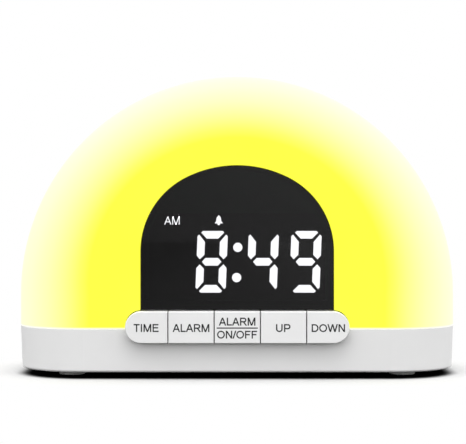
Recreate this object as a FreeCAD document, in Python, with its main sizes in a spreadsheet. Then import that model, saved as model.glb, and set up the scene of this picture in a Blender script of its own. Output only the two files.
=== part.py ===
import FreeCAD, Part
import math
import os
import types

import Sketcher

# Sunrise alarm clock: a half-round lamp over a shallow base, with a clock display and a bar of
# five keys on its front. Millimetres. The front faces -Y, +X is to the right of the dial, +Z is
# up, and the origin is on the table under the middle of the whole clock.
# Distances called a depth are measured backwards from the flat front of the dome.

DIMENSIONS = {
    # Outer form
    "dome_width": 138.6,
    "dome_height": 94.8,
    "dome_depth": 58.0,
    "rim_radius": 22.0,
    "least_band": 2.0,
    "dome_wall": 2.0,
    "seam_height": 15.4,
    "fit_gap": 0.2,
    # Base tub
    "base_clearance": 2.0,
    "base_wall": 2.4,
    "base_floor": 2.0,
    "draft_angle": 2.3,
    "base_edge_radius": 0.8,
    "seam_bevel": 0.15,
    "lip_wall": 1.2,
    "lip_height": 2.0,
    "lip_root": 2.0,
    # Feet and housing screws
    "foot_radius": 4.5,
    "foot_spacing": 104.0,
    "foot_setback": 16.0,
    "foot_recess": 0.5,
    "screw_spacing": 100.0,
    "screw_setback": 8.0,
    "screw_boss_radius": 4.0,
    "screw_head_radius": 2.5,
    "screw_head_height": 1.8,
    "screw_shank_radius": 1.3,
    "screw_pocket_depth": 4.0,
    "screw_length": 18.0,
    "screw_play": 0.1,
    "dome_boss_radius": 3.2,
    "dome_boss_height": 16.6,
    "rib_thickness": 2.0,
    # Display window and what stands behind it
    "lens_width": 59.2,
    "lens_crown": 65.5,
    "lens_spring": 39.2,
    "lens_shoulder": 25.25,
    "lens_setback": 0.2,
    "lens_flange": 1.8,
    "lens_flange_thickness": 1.0,
    "gasket_thickness": 0.5,
    "shroud_depth": 10.5,
    "shroud_wall": 1.5,
    "display_sill": 22.4,
    "module_side_gap": 2.7,
    "module_sill_gap": 0.1,
    "module_rise": 6.7,
    "module_crop": 3.2,
    "module_crop_height": 5.0,
    "module_thickness": 9.5,
    "board_thickness": 1.6,
    "board_margin": 9.0,
    "board_boss_offset": 5.2,
    "board_boss_radius": 2.5,
    "board_boss_low": 30.0,
    "board_boss_angle": 50.0,
    "small_screw_radius": 0.9,
    "small_head_radius": 2.0,
    "small_head_height": 1.4,
    "small_screw_length": 6.0,
    "cover_depth": 8.4,
    "cover_wall": 1.2,
    "cover_slot": 16.0,
    # Seven-segment digits
    "digit_height": 19.04,
    "digit_width": 9.34,
    "digit_pitch": 13.2,
    "colon_pitch": 15.8,
    "digit_middle": 35.9,
    "digit_lean": 2.2,
    "segment_stroke": 2.35,
    "segment_gap": 0.8,
    "segment_bevel": 0.5,
    "segment_corner": 1.12,
    "segment_taper": 0.56,
    "bar_shoulder": 0.36,
    "bar_reach": 1.68,
    "stem_foot": 1.92,
    "stem_shoulder": 1.0,
    "segment_height": 0.3,
    "colon_radius": 1.42,
    "colon_spread": 4.67,
    "colon_drop": 0.2,
    # Parts on the main board
    "chip_width": 7.0,
    "chip_height": 1.4,
    "chip_offset": 10.0,
    "crystal_length": 8.0,
    "crystal_radius": 1.5,
    "capacitor_radius": 3.0,
    "capacitor_height": 6.0,
    "capacitor_offset": 14.0,
    # Keys, switches and key board
    "key_overhang": 4.6,
    "key_end_trim": 2.1,
    "key_height": 9.7,
    "key_base": 11.2,
    "key_proud": 3.0,
    "key_gap": 0.3,
    "key_clearance": 0.3,
    "key_wall": 1.2,
    "key_face": 1.5,
    "key_edge_radius": 0.25,
    "key_flange": 1.0,
    "key_flange_depth": 3.2,
    "key_flange_thickness": 1.0,
    "key_post_radius": 1.8,
    "key_post_length": 2.0,
    "plunger_radius": 1.7,
    "plunger_reach": 2.0,
    "plunger_seat": 1.7,
    "plunger_play": 0.2,
    "key_travel": 0.5,
    "switch_width": 6.0,
    "switch_depth": 3.5,
    "key_board_height": 15.6,
    "key_board_lift": 2.0,
    "key_board_edge": 1.8,
    "grip_width": 3.5,
    "grip_overhang": 0.9,
    "grip_play": 0.1,
    "grip_wall": 1.4,
    "grip_height": 8.0,
    # Battery bay, cells and door
    "bay_depth": 17.9,
    "bay_wall": 2.3,
    "bay_roof": 1.5,
    "cell_radius": 5.25,
    "cell_length": 43.5,
    "cell_pitch": 10.8,
    "cell_play": 0.55,
    "cell_lift": 0.3,
    "cell_headroom": 0.4,
    "cell_nub_radius": 1.9,
    "cell_nub_length": 1.0,
    "contact_room": 3.25,
    "contact_thickness": 0.4,
    "contact_width": 6.0,
    "contact_height": 8.0,
    "contact_nose": 1.2,
    "contact_tail": 2.8,
    "door_thickness": 1.8,
    "door_ledge": 1.8,
    "door_gap": 0.3,
    "door_seat_gap": 0.1,
    "door_tab_width": 6.0,
    "door_tab_spacing": 26.0,
    "door_tab_reach": 1.2,
    "door_tab_thickness": 1.1,
    "door_slot_height": 2.9,
    "latch_width": 12.0,
    "latch_length": 7.0,
    "latch_slit": 0.8,
    "thumb_depth": 1.2,
    # Lamp deck
    "deck_width": 88.0,
    "deck_front": 17.5,
    "deck_back": 46.0,
    "deck_floor": 1.5,
    "deck_rim": 3.0,
    "deck_wall": 1.2,
    "deck_screw_setback": 34.0,
    "deck_boss_radius": 2.25,
    "lamp_board_margin": 2.4,
    "lamp_width": 5.0,
    "lamp_height": 1.5,
    "lamp_pitch": 18.0,
    "lamp_row_depth": 28.0,
    "lamp_row_pitch": 11.0,
    # Speaker
    "speaker_offset": 44.5,
    "speaker_radius": 13.5,
    "speaker_rim": 2.2,
    "speaker_flange": 1.0,
    "speaker_throat": 8.6,
    "speaker_hole": 3.0,
    "speaker_basket": 4.0,
    "speaker_skin": 0.8,
    "cone_skin": 0.4,
    "cone_radius": 10.6,
    "cone_cap_radius": 3.0,
    "cone_lift": 0.2,
    "cone_height": 2.8,
    "magnet_radius": 8.0,
    "magnet_height": 3.5,
    "speaker_ring_wall": 1.2,
    "speaker_ring_height": 3.0,
    "grille_slot_width": 1.6,
    "grille_slot_length": 14.0,
    "grille_pitch": 3.2,
    # Power inlet
    "inlet_offset": 38.0,
    "inlet_width": 9.0,
    "inlet_height": 3.3,
    "inlet_length": 7.4,
    "inlet_skin": 0.35,
    "inlet_corner": 1.3,
    "inlet_setback": 0.8,
    "inlet_gap": 0.3,
    "inlet_block": 2.0,
    "tongue_width": 6.7,
    "tongue_height": 0.7,
    "tongue_length": 4.6,
    "power_board_width": 15.0,
    "power_board_length": 18.0,
    "power_board_setback": 3.7,
    "standoff_height": 2.4,
    "standoff_radius": 2.2,
    "standoff_inset": 2.6,
}

GRILLE_SLOTS = 5
CELLS = 3
LAMPS_IN_ROW = 5
LAMP_ROWS = 2

# Keys from left to right, each with its place in key pitches from the middle
KEYS = {
    "time_button": -2,
    "alarm_set_button": -1,
    "alarm_switch_button": 0,
    "up_button": 1,
    "down_button": 2,
}

# Lit segments of each digit from left to right, named a to g as on any seven-segment digit
LIT_SEGMENTS = ("", "abcdefg", "bcfg", "abcdfg")

FIRST_KEY = min(KEYS.values())
LAST_KEY = max(KEYS.values())

PLAN = "XY_Plane"
FRONT = "XZ_Plane"
SIDE = "YZ_Plane"
TOLERANCE = 1e-4

document = FreeCAD.newDocument("SunriseAlarmClock")
sheet = document.addObject("Spreadsheet::Sheet", "Sizes")
made_parts = []


class Size:
    """A length that knows its value and the sheet expression that gives it."""

    def __init__(self, value, text):
        self.value = value
        self.text = text

    def __add__(self, other):
        other = as_size(other)
        return Size(self.value + other.value, "(%s + %s)" % (self.text, other.text))

    def __radd__(self, other):
        return as_size(other) + self

    def __sub__(self, other):
        other = as_size(other)
        return Size(self.value - other.value, "(%s - %s)" % (self.text, other.text))

    def __rsub__(self, other):
        return as_size(other) - self

    def __mul__(self, other):
        other = as_size(other)
        return Size(self.value * other.value, "(%s * %s)" % (self.text, other.text))

    def __rmul__(self, other):
        return as_size(other) * self

    def __truediv__(self, other):
        other = as_size(other)
        return Size(self.value / other.value, "(%s / %s)" % (self.text, other.text))

    def __neg__(self):
        return Size(-self.value, "(0 - %s)" % self.text)


def as_size(number):
    if isinstance(number, Size):
        return number
    return Size(float(number), "%g" % number)


def angle_size(function, angle):
    """The sine, cosine or tangent of an angle in degrees."""
    value = getattr(math, function)(math.radians(angle.value))
    return Size(value, "%s(%s * 1 deg)" % (function, angle.text))


def smaller(first, second):
    value = min(first.value, second.value)
    return Size(value, "min(%s; %s)" % (first.text, second.text))


def fill_sheet():
    """Write the driving dimensions into the sheet and give them back by name."""
    sizes = types.SimpleNamespace()
    for row, (name, value) in enumerate(DIMENSIONS.items(), start=1):
        sheet.set("A%d" % row, name)
        sheet.set("B%d" % row, "%g" % value)
        sheet.setAlias("B%d" % row, name)
        setattr(sizes, name, Size(value, "Sizes." + name))
    document.recompute()
    return sizes


class Drawing:
    """A sketch on a plane of its body, moved to a level, with every point bound to the sheet."""

    def __init__(self, body, plane, level, name="Sketch"):
        self.body = body
        self.plane = plane
        self.sketch = body.newObject("Sketcher::SketchObject", name)
        for feature in body.Origin.OriginFeatures:
            if feature.Role == plane:
                self.sketch.AttachmentSupport = (feature, [""])
        self.sketch.MapMode = "FlatFace"
        lift = -level if plane == FRONT else level
        self.sketch.setExpression("AttachmentOffset.Base.z", lift.text)

    def bind(self, kind, amount, *place):
        index = self.sketch.addConstraint(Sketcher.Constraint(kind, *place, amount.value))
        self.sketch.setExpression("Constraints[%d]" % index, amount.text)

    def pin(self, geometry, point, across, up):
        self.bind("DistanceX", across, -1, 1, geometry, point)
        self.bind("DistanceY", up, -1, 1, geometry, point)

    def circle(self, across, up, radius):
        centre = FreeCAD.Vector(across.value, up.value, 0)
        shape = Part.Circle(centre, FreeCAD.Vector(0, 0, 1), radius.value)
        geometry = self.sketch.addGeometry(shape)
        self.pin(geometry, 3, across, up)
        self.bind("Radius", radius, geometry)
        return self

    def outline(self, start, *runs):
        """A closed outline. A run is the point it ends at, and for an arc also its centre.

        Arcs go counterclockwise, and so does the whole outline. A line closes it, unless the last
        run already ends at the start.
        """
        end_across, end_up = runs[-1][:2]
        if math.hypot(end_across.value - start[0].value,
                      end_up.value - start[1].value) > TOLERANCE:
            runs += (start,)
        corners = [start] + [run[:2] for run in runs[:-1]]
        pieces = []
        for begin, run in zip(corners, runs):
            pieces.append(self.arc(begin, run) if len(run) == 4 else self.line(begin, run))
        for piece, follower in zip(pieces, pieces[1:] + pieces[:1]):
            self.sketch.addConstraint(Sketcher.Constraint("Coincident", piece, 2, follower, 1))
        for piece, (across, up) in zip(pieces, corners):
            self.pin(piece, 1, across, up)
        return self

    def line(self, begin, end):
        first = FreeCAD.Vector(begin[0].value, begin[1].value, 0)
        last = FreeCAD.Vector(end[0].value, end[1].value, 0)
        return self.sketch.addGeometry(Part.LineSegment(first, last))

    def arc(self, begin, run):
        end_across, end_up, across, up = run
        wide = end_across.value - begin[0].value
        high = end_up.value - begin[1].value
        first = math.atan2(begin[1].value - up.value, begin[0].value - across.value)
        last = math.atan2(end_up.value - up.value, end_across.value - across.value)
        radius = math.hypot(begin[0].value - across.value, begin[1].value - up.value)
        centre = FreeCAD.Vector(across.value, up.value, 0)
        circle = Part.Circle(centre, FreeCAD.Vector(0, 0, 1), radius)
        geometry = self.sketch.addGeometry(Part.ArcOfCircle(circle, first, last))
        if abs(wide) > abs(high):
            self.bind("DistanceY", up, -1, 1, geometry, 3)
        else:
            self.bind("DistanceX", across, -1, 1, geometry, 3)
        return geometry

    def rectangle(self, left, right, bottom, top):
        return self.outline((left, bottom), (right, bottom), (right, top), (left, top))

    def rounded_rectangle(self, left, right, bottom, top, radius):
        return self.outline(
            (left + radius, bottom),
            (right - radius, bottom),
            (right, bottom + radius, right - radius, bottom + radius),
            (right, top - radius),
            (right - radius, top, right - radius, top - radius),
            (left + radius, top),
            (left, top - radius, left + radius, top - radius),
            (left, bottom + radius),
            (left + radius, bottom, left + radius, bottom + radius))

    def pill(self, left, right, bottom, top):
        radius = (top - bottom) / 2
        return self.outline(
            (left + radius, bottom),
            (right - radius, bottom),
            (right - radius, top, right - radius, bottom + radius),
            (left + radius, top),
            (left + radius, bottom, left + radius, bottom + radius))

    def add(self, length, taper=None):
        return self.extrude("PartDesign::Pad", length, taper, self.plane == FRONT)

    def cut(self, length, taper=None):
        return self.extrude("PartDesign::Pocket", length, taper, self.plane != FRONT)

    def extrude(self, kind, length, taper, reverse):
        """Pad or pocket the outlines from the sketch's level towards +X, +Y or +Z."""
        document.recompute()
        before = self.body.Shape.Volume if self.body.Tip else 0.0
        feature = self.body.newObject(kind, kind.split("::")[1])
        feature.Profile = self.sketch
        feature.Reversed = reverse
        feature.setExpression("Length", length.text)
        if taper:
            feature.setExpression("TaperAngle", taper.text)
        document.recompute()
        change = self.body.Shape.Volume - before
        if change * (1 if kind.endswith("Pad") else -1) <= 0:
            raise RuntimeError("%s of %s changed nothing" % (feature.Name, self.body.Label))
        return feature

    def repeat(self, features, axis, pitch, count):
        """Repeat features along an axis of the body."""
        pattern = self.body.newObject("PartDesign::LinearPattern", "Row")
        pattern.Originals = features
        for feature in self.body.Origin.OriginFeatures:
            if feature.Role == axis:
                pattern.Direction = (feature, [""])
        pattern.setExpression("Length", (pitch * (count - 1)).text)
        pattern.Occurrences = count
        self.body.Tip = pattern
        document.recompute()
        return pattern

    def revolve(self):
        """Turn the outline once around the upright axis of the sketch."""
        document.recompute()
        feature = self.body.newObject("PartDesign::Revolution", "Revolution")
        feature.Profile = self.sketch
        feature.ReferenceAxis = (self.sketch, ["V_Axis"])
        feature.Angle = 360
        document.recompute()
        return feature


def new_body(label):
    body = document.addObject("PartDesign::Body", label)
    body.Label = label
    made_parts.append(body)
    return body


def move(thing, across, along, up):
    thing.setExpression("Placement.Base.x", across.text)
    thing.setExpression("Placement.Base.y", along.text)
    thing.setExpression("Placement.Base.z", up.text)


def box(label, left, front_face, bottom, width, depth, height):
    thing = document.addObject("Part::Box", label)
    thing.Label = label
    thing.setExpression("Length", width.text)
    thing.setExpression("Width", depth.text)
    thing.setExpression("Height", height.text)
    move(thing, left, front_face, bottom)
    made_parts.append(thing)
    return thing


def cylinder(label, across, along, up, radius, length, tilt=0.0):
    """A cylinder that stands up, or points backwards with a tilt of -90 degrees."""
    thing = document.addObject("Part::Cylinder", label)
    thing.Label = label
    thing.Placement.Rotation = FreeCAD.Rotation(FreeCAD.Vector(1, 0, 0), tilt)
    thing.setExpression("Radius", radius.text)
    thing.setExpression("Height", length.text)
    move(thing, across, along, up)
    made_parts.append(thing)
    return thing


def edges_at(shape, axis, level, least_span=0.0):
    """Names of the edges that lie flat at a level of X, Y or Z."""
    names = []
    for number, edge in enumerate(shape.Edges, start=1):
        bounds = edge.BoundBox
        low = getattr(bounds, axis + "Min")
        high = getattr(bounds, axis + "Max")
        if max(abs(low - level.value), abs(high - level.value)) < TOLERANCE:
            if bounds.DiagonalLength > least_span:
                names.append("Edge%d" % number)
    return names


def dress(kind, body, edges, amount):
    """Fillet or chamfer edges of the body's last feature."""
    base = body.Tip
    feature = body.newObject("PartDesign::" + kind, kind)
    feature.Base = (base, edges)
    feature.setExpression("Radius" if kind == "Fillet" else "Size", amount.text)
    document.recompute()
    return feature


size = fill_sheet()
zero = as_size(0)

# Levels and places that several parts share
dome_radius = size.dome_width / 2
arc_level = size.dome_height - dome_radius
front = -(size.dome_depth - size.key_proud) / 2
back = front + size.dome_depth
middle = front + size.dome_depth / 2
rim_radius = smaller(size.rim_radius, (size.dome_depth - size.least_band) / 2)
draft = angle_size("tan", size.draft_angle)
floor_level = size.base_clearance + size.base_floor

# Keys
key_bar_half = size.lens_width / 2 + size.key_overhang
key_pitch = (key_bar_half * 2 + size.key_end_trim) / len(KEYS)
key_middle = size.key_base + size.key_height / 2
key_top = size.key_base + size.key_height
key_back = size.key_flange_depth + size.key_flange_thickness
post_end = key_back + size.key_post_length
switch_front = post_end + size.plunger_reach
key_board_front = switch_front + size.switch_depth
key_board_half = key_pitch * LAST_KEY + size.switch_width / 2 + size.key_board_edge

# Battery bay
bay_front = front + size.bay_depth
first_cell = bay_front + size.cell_play + size.cell_radius
bay_back = first_cell + size.cell_pitch * (CELLS - 1) + size.cell_radius + size.cell_play
bay_half = size.cell_length / 2 + size.contact_room
door_top = size.base_clearance + size.door_thickness
cell_level = door_top + size.cell_lift + size.cell_radius
bay_ceiling = cell_level + size.cell_radius + size.cell_headroom
bay_top = bay_ceiling + size.bay_roof
door_front = bay_front - size.door_ledge + size.door_gap
door_back = bay_back + size.door_ledge - size.door_gap
door_half = bay_half + size.door_ledge - size.door_gap
tab_bottom = floor_level + size.door_seat_gap

# Display, from the window backwards
lens_bottom = key_top + size.key_clearance
shoulder_centre = size.lens_width / 2 - size.lens_shoulder
crown_rise = size.lens_crown - size.lens_spring
crown_radius = (shoulder_centre * shoulder_centre + crown_rise * crown_rise
                - size.lens_shoulder * size.lens_shoulder) / (2 * (crown_rise - size.lens_shoulder))
crown_level = size.lens_crown - crown_radius
flange_back = front + size.dome_wall + size.lens_flange_thickness
shroud_front = flange_back + size.gasket_thickness
board_front = shroud_front + size.shroud_depth
board_back = board_front + size.board_thickness
module_front = board_front - size.module_thickness
module_half = size.lens_width / 2 + size.lens_flange - size.shroud_wall - size.module_side_gap
module_bottom = size.display_sill + size.shroud_wall + size.module_sill_gap
module_shoulder = size.lens_spring + size.module_rise
board_boss_reach = size.lens_shoulder + size.board_boss_offset
board_boss_high = (
    shoulder_centre + board_boss_reach * angle_size("cos", size.board_boss_angle),
    size.lens_spring + board_boss_reach * angle_size("sin", size.board_boss_angle))
board_boss_places = [
    (side * across, up)
    for side in (-1, 1)
    for across, up in (
        (size.lens_width / 2 + size.board_boss_offset, size.board_boss_low), board_boss_high)]

# Fixings of the base
housing_screw_places = [
    (side * size.screw_spacing / 2, along)
    for side in (-1, 1)
    for along in (front + size.screw_setback, back - size.screw_setback)]
foot_places = [
    (side * size.foot_spacing / 2, along)
    for side in (-1, 1)
    for along in (front + size.foot_setback, back - size.foot_setback)]
deck_screw_places = [
    (side * (bay_half + size.bay_wall), front + size.deck_screw_setback) for side in (-1, 1)]
screw_seat = size.base_clearance + size.screw_pocket_depth

# Power board and inlet
inlet_x = -size.inlet_offset
power_board_back = back - size.power_board_setback
power_board_front = power_board_back - size.power_board_length
standoff_top = floor_level + size.standoff_height
power_board_top = standoff_top + size.board_thickness
inlet_level = power_board_top + size.inlet_height / 2
standoff_reach = size.power_board_width / 2 - size.standoff_inset
power_screw_places = [
    (inlet_x + side * standoff_reach, power_board_front + size.standoff_inset)
    for side in (-1, 1)]
power_rest_places = [
    (inlet_x + side * standoff_reach, power_board_back - size.standoff_inset)
    for side in (-1, 1)]

# Lamp deck
deck_half = size.deck_width / 2
deck_front = front + size.deck_front
deck_back = front + size.deck_back
lamp_board_level = bay_top + size.deck_floor
lamp_level = lamp_board_level + size.board_thickness


def dome_outline(drawing):
    """The upright half-round face of the clock, with short straight sides below the arc."""
    return drawing.outline(
        (-dome_radius, size.seam_height),
        (dome_radius, size.seam_height),
        (dome_radius, arc_level),
        (-dome_radius, arc_level, zero, arc_level))


def base_outline(drawing, inset):
    """The clock seen from above at the seam, drawn in by an inset."""
    return drawing.rounded_rectangle(
        inset - dome_radius, dome_radius - inset, front + inset, back - inset,
        rim_radius - inset)


def arch_outline(drawing, offset, bottom):
    """The display window: straight sides under a three-centred arch, widened by an offset."""
    half = size.lens_width / 2 + offset
    reach = (crown_radius + offset) / (crown_radius - size.lens_shoulder)
    join_across = shoulder_centre * reach
    join_up = crown_level + (size.lens_spring - crown_level) * reach
    return drawing.outline(
        (-half, bottom),
        (half, bottom),
        (half, size.lens_spring),
        (join_across, join_up, shoulder_centre, size.lens_spring),
        (-join_across, join_up, zero, crown_level),
        (-half, size.lens_spring, -shoulder_centre, size.lens_spring))


def key_bar_outline(drawing, offset):
    half = key_bar_half + offset
    return drawing.pill(-half, half, size.key_base - offset, key_top + offset)


def draft_inset(level):
    """How far the tapered base has drawn in at a level below the seam."""
    return (size.seam_height - level) * draft


def circles(drawing, places, radius):
    for across, up in places:
        drawing.circle(across, up, radius)
    return drawing


def make_dome():
    """Milky lamp cover: a half-round slab with a big rim radius, shelled and open below."""
    body = new_body("dome_diffuser")
    slab = dome_outline(Drawing(body, FRONT, front)).add(size.dome_depth)
    least = size.dome_wall.value
    edges = [
        name for level in (front, back)
        for name in edges_at(slab.Shape, "Y", level, least)
        if slab.Shape.getElement(name).BoundBox.ZMax > size.seam_height.value + least]
    rim = dress("Fillet", body, edges, rim_radius)
    open_faces = [
        "Face%d" % number for number, face in enumerate(rim.Shape.Faces, start=1)
        if abs(face.BoundBox.ZMax - size.seam_height.value) < TOLERANCE]
    shell = body.newObject("PartDesign::Thickness", "Shell")
    shell.Base = (rim, open_faces)
    shell.Reversed = True
    shell.setExpression("Value", size.dome_wall.text)
    document.recompute()

    # Screw posts over the base bosses, each joined to the near wall by a rib
    posts = circles(Drawing(body, PLAN, size.seam_height), housing_screw_places,
                    size.dome_boss_radius)
    posts.add(size.dome_boss_height)
    rib_level = size.seam_height + size.lip_height + size.fit_gap
    ribs = Drawing(body, PLAN, rib_level)
    half_rib = size.rib_thickness / 2
    for side in (-1, 1):
        across = side * size.screw_spacing / 2
        near = size.dome_wall / 2
        ribs.rectangle(across - half_rib, across + half_rib, front + near,
                       front + size.screw_setback)
        ribs.rectangle(across - half_rib, across + half_rib, back - size.screw_setback,
                       back - near)
    ribs.add(size.seam_height + size.dome_boss_height - rib_level)
    pilot = circles(Drawing(body, PLAN, size.seam_height), housing_screw_places,
                    size.screw_shank_radius + size.screw_play)
    pilot.cut(size.dome_boss_height - size.dome_wall)

    # Posts for the main board around the display window
    board_posts = circles(Drawing(body, FRONT, front + size.dome_wall / 2), board_boss_places,
                          size.board_boss_radius)
    board_posts.add(board_front - front - size.dome_wall / 2)
    board_pilot = circles(Drawing(body, FRONT, board_back - size.small_screw_length),
                          board_boss_places, size.small_screw_radius + size.screw_play)
    board_pilot.cut(size.small_screw_length)

    # Window for the lens, and the upper half of the key opening
    window = Drawing(body, FRONT, front - size.dome_wall)
    arch_outline(window, size.fit_gap, size.seam_height - size.dome_wall)
    window.cut(size.dome_wall * 2 + size.fit_gap)
    keyway = Drawing(body, FRONT, front - size.dome_wall)
    key_bar_outline(keyway, size.key_clearance)
    keyway.cut(size.dome_wall * 2 + size.fit_gap)


def make_base():
    """Base tub with the lower half of the key opening, the battery bay and all the seats."""
    body = new_body("base_housing")
    underside = Drawing(body, PLAN, size.base_clearance)
    base_outline(underside, draft_inset(size.base_clearance))
    tub_height = size.seam_height - size.base_clearance
    tub = underside.add(tub_height, size.draft_angle)
    dress("Fillet", body, edges_at(tub.Shape, "Z", size.base_clearance), size.base_edge_radius)
    dress("Chamfer", body, edges_at(body.Shape, "Z", size.seam_height), size.seam_bevel)
    cavity = Drawing(body, PLAN, floor_level)
    base_outline(cavity, size.base_wall + draft_inset(floor_level))
    cavity.cut(size.seam_height - floor_level, size.draft_angle)

    # Lip that stands up inside the dome, cut away behind the keys
    lip = Drawing(body, PLAN, size.seam_height - size.lip_root)
    lip_inset = size.dome_wall + size.fit_gap
    base_outline(lip, lip_inset)
    base_outline(lip, lip_inset + size.lip_wall)
    lip.add(size.lip_root + size.lip_height)
    passage = Drawing(body, PLAN, size.seam_height - size.lip_root)
    passage_half = key_bar_half + size.rib_thickness
    passage.rectangle(-passage_half, passage_half, front + size.base_wall,
                      front + lip_inset + size.lip_wall + size.fit_gap)
    passage.cut(size.lip_root + size.lip_height)
    keyway = Drawing(body, FRONT, front - size.base_wall)
    key_bar_outline(keyway, size.key_clearance)
    keyway.cut(size.base_wall * 3)

    # Battery bay, screw bosses, standoffs, board grips and the speaker ring rise from the floor
    root = size.base_clearance + size.base_floor / 2
    bay = Drawing(body, PLAN, root)
    bay.rectangle(-bay_half - size.bay_wall, bay_half + size.bay_wall,
                  bay_front - size.bay_wall, bay_back + size.bay_wall)
    bay.add(bay_top - root)
    circles(Drawing(body, PLAN, root), housing_screw_places,
            size.screw_boss_radius).add(size.seam_height - root)
    circles(Drawing(body, PLAN, root), deck_screw_places,
            size.deck_boss_radius).add(bay_top - root)
    circles(Drawing(body, PLAN, root), power_screw_places + power_rest_places,
            size.standoff_radius).add(standoff_top - root)
    ring = Drawing(body, PLAN, root)
    ring_bore = size.speaker_radius + size.door_gap
    ring.circle(size.speaker_offset, middle, ring_bore)
    ring.circle(size.speaker_offset, middle, ring_bore + size.speaker_ring_wall)
    ring.add(floor_level + size.speaker_ring_height - root)
    grips = Drawing(body, PLAN, root)
    slots = Drawing(body, PLAN, floor_level + size.key_board_lift)
    board_near = front + key_board_front - size.grip_play
    board_far = front + key_board_front + size.board_thickness + size.grip_play
    for side in (-1, 1):
        outer = side * (key_board_half + size.grip_overhang)
        inner = outer - side * size.grip_width
        left, right = (outer, inner) if side < 0 else (inner, outer)
        grips.rectangle(left, right, board_near - size.grip_wall, board_far + size.grip_wall)
        end = side * (key_board_half + size.grip_play)
        left, right = (end, inner) if side < 0 else (inner, end)
        slots.rectangle(left, right, board_near, board_far)
    grips.add(floor_level + size.grip_height - root)
    slots.cut(size.grip_height - size.key_board_lift)

    # The bay is open below, with a rebate for the door and slots for its two tabs
    hollow = Drawing(body, PLAN, size.base_clearance)
    hollow.rectangle(-bay_half, bay_half, bay_front, bay_back)
    hollow.cut(bay_ceiling - size.base_clearance)
    rebate = Drawing(body, PLAN, size.base_clearance)
    rebate.rectangle(-door_half - size.door_gap, door_half + size.door_gap,
                     door_front - size.door_gap, door_back + size.door_gap)
    rebate.cut(size.door_thickness + size.door_seat_gap)
    tab_slots = Drawing(body, PLAN, door_top)
    for side in (-1, 1):
        across = side * size.door_tab_spacing / 2
        reach = size.door_tab_width / 2 + size.door_gap
        tab_slots.rectangle(across - reach, across + reach,
                            bay_front - size.bay_wall - size.fit_gap, bay_front + size.fit_gap)
    tab_slots.cut(size.base_floor - size.door_thickness + size.door_slot_height)
    thumb = Drawing(body, PLAN, size.base_clearance)
    thumb.rectangle(-size.latch_width / 2, size.latch_width / 2, door_back,
                    door_back + size.door_gap + size.door_ledge)
    thumb.cut(size.thumb_depth)

    # Feet, screws, speaker grille and the power inlet
    circles(Drawing(body, PLAN, size.base_clearance), foot_places,
            size.foot_radius + size.screw_play).cut(size.foot_recess)
    circles(Drawing(body, PLAN, size.base_clearance), housing_screw_places,
            size.screw_head_radius + size.fit_gap).cut(size.screw_pocket_depth)
    circles(Drawing(body, PLAN, screw_seat), housing_screw_places,
            size.screw_shank_radius + size.fit_gap).cut(size.seam_height - screw_seat)
    circles(Drawing(body, PLAN, lamp_level - size.small_screw_length), deck_screw_places,
            size.small_screw_radius + size.screw_play).cut(size.small_screw_length)
    circles(Drawing(body, PLAN, floor_level), power_screw_places,
            size.small_screw_radius + size.screw_play).cut(size.standoff_height)
    slot = Drawing(body, PLAN, size.base_clearance)
    first_slot = middle - size.grille_pitch * (GRILLE_SLOTS - 1) / 2
    slot.pill(size.speaker_offset - size.grille_slot_length / 2,
              size.speaker_offset + size.grille_slot_length / 2,
              first_slot - size.grille_slot_width / 2, first_slot + size.grille_slot_width / 2)
    slot.repeat([slot.cut(size.base_floor)], "Y_Axis", size.grille_pitch, GRILLE_SLOTS)
    port = Drawing(body, FRONT, back - size.base_wall * 2)
    inlet_outline(port, size.inlet_gap)
    port.cut(size.base_wall * 2)


def inlet_outline(drawing, offset):
    """The rounded mouth of the power inlet, widened by an offset."""
    half = size.inlet_width / 2 + offset
    rise = size.inlet_height / 2 + offset
    return drawing.rounded_rectangle(inlet_x - half, inlet_x + half, inlet_level - rise,
                                     inlet_level + rise, size.inlet_corner + offset)


def make_feet():
    body = new_body("rubber_feet")
    feet = circles(Drawing(body, PLAN, zero), foot_places, size.foot_radius)
    feet.add(size.base_clearance + size.foot_recess)


def make_screws(label, plane, places, seat, head_radius, head_height, shank_radius, length,
                points_back):
    """Screws as plain heads on plain shanks. The seat is the face that the heads press on."""
    body = new_body(label)
    head_start = seat - head_height if points_back else seat
    shank_start = seat if points_back else seat - length
    circles(Drawing(body, plane, head_start), places, head_radius).add(head_height)
    circles(Drawing(body, plane, shank_start), places, shank_radius).add(length)


def make_door():
    """Battery door: a plate with two tabs at its front edge and a springy latch at its back."""
    body = new_body("battery_door")
    plate = Drawing(body, PLAN, size.base_clearance)
    plate.rectangle(-door_half, door_half, door_front, door_back)
    plate.add(size.door_thickness)
    riser = bay_front + size.door_gap + size.fit_gap
    tab_top = tab_bottom + size.door_tab_thickness
    for side in (-1, 1):
        start = side * size.door_tab_spacing / 2 - size.door_tab_width / 2
        tab = Drawing(body, SIDE, start)
        tab.outline(
            (riser, door_top),
            (riser + size.door_tab_thickness, door_top),
            (riser + size.door_tab_thickness, tab_top),
            (door_front - size.door_tab_reach, tab_top),
            (door_front - size.door_tab_reach, tab_bottom),
            (riser, tab_bottom))
        tab.add(size.door_tab_width)
    slits = Drawing(body, PLAN, size.base_clearance)
    for side in (-1, 1):
        inner = side * size.latch_width / 2
        outer = inner + side * size.latch_slit
        left, right = (outer, inner) if side < 0 else (inner, outer)
        slits.rectangle(left, right, door_back - size.latch_length, door_back)
    slits.cut(size.door_thickness)


def make_cells():
    body = new_body("battery_cells")
    can = Drawing(body, SIDE, -size.cell_length / 2)
    can.circle(first_cell, cell_level, size.cell_radius)
    can.repeat([can.add(size.cell_length)], "Y_Axis", size.cell_pitch, CELLS)
    for number in range(CELLS):
        along = first_cell + size.cell_pitch * number
        half = size.cell_length / 2
        start = half if number % 2 == 0 else -half - size.cell_nub_length
        nub = Drawing(body, SIDE, start)
        nub.circle(along, cell_level, size.cell_nub_radius)
        nub.add(size.cell_nub_length)


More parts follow.
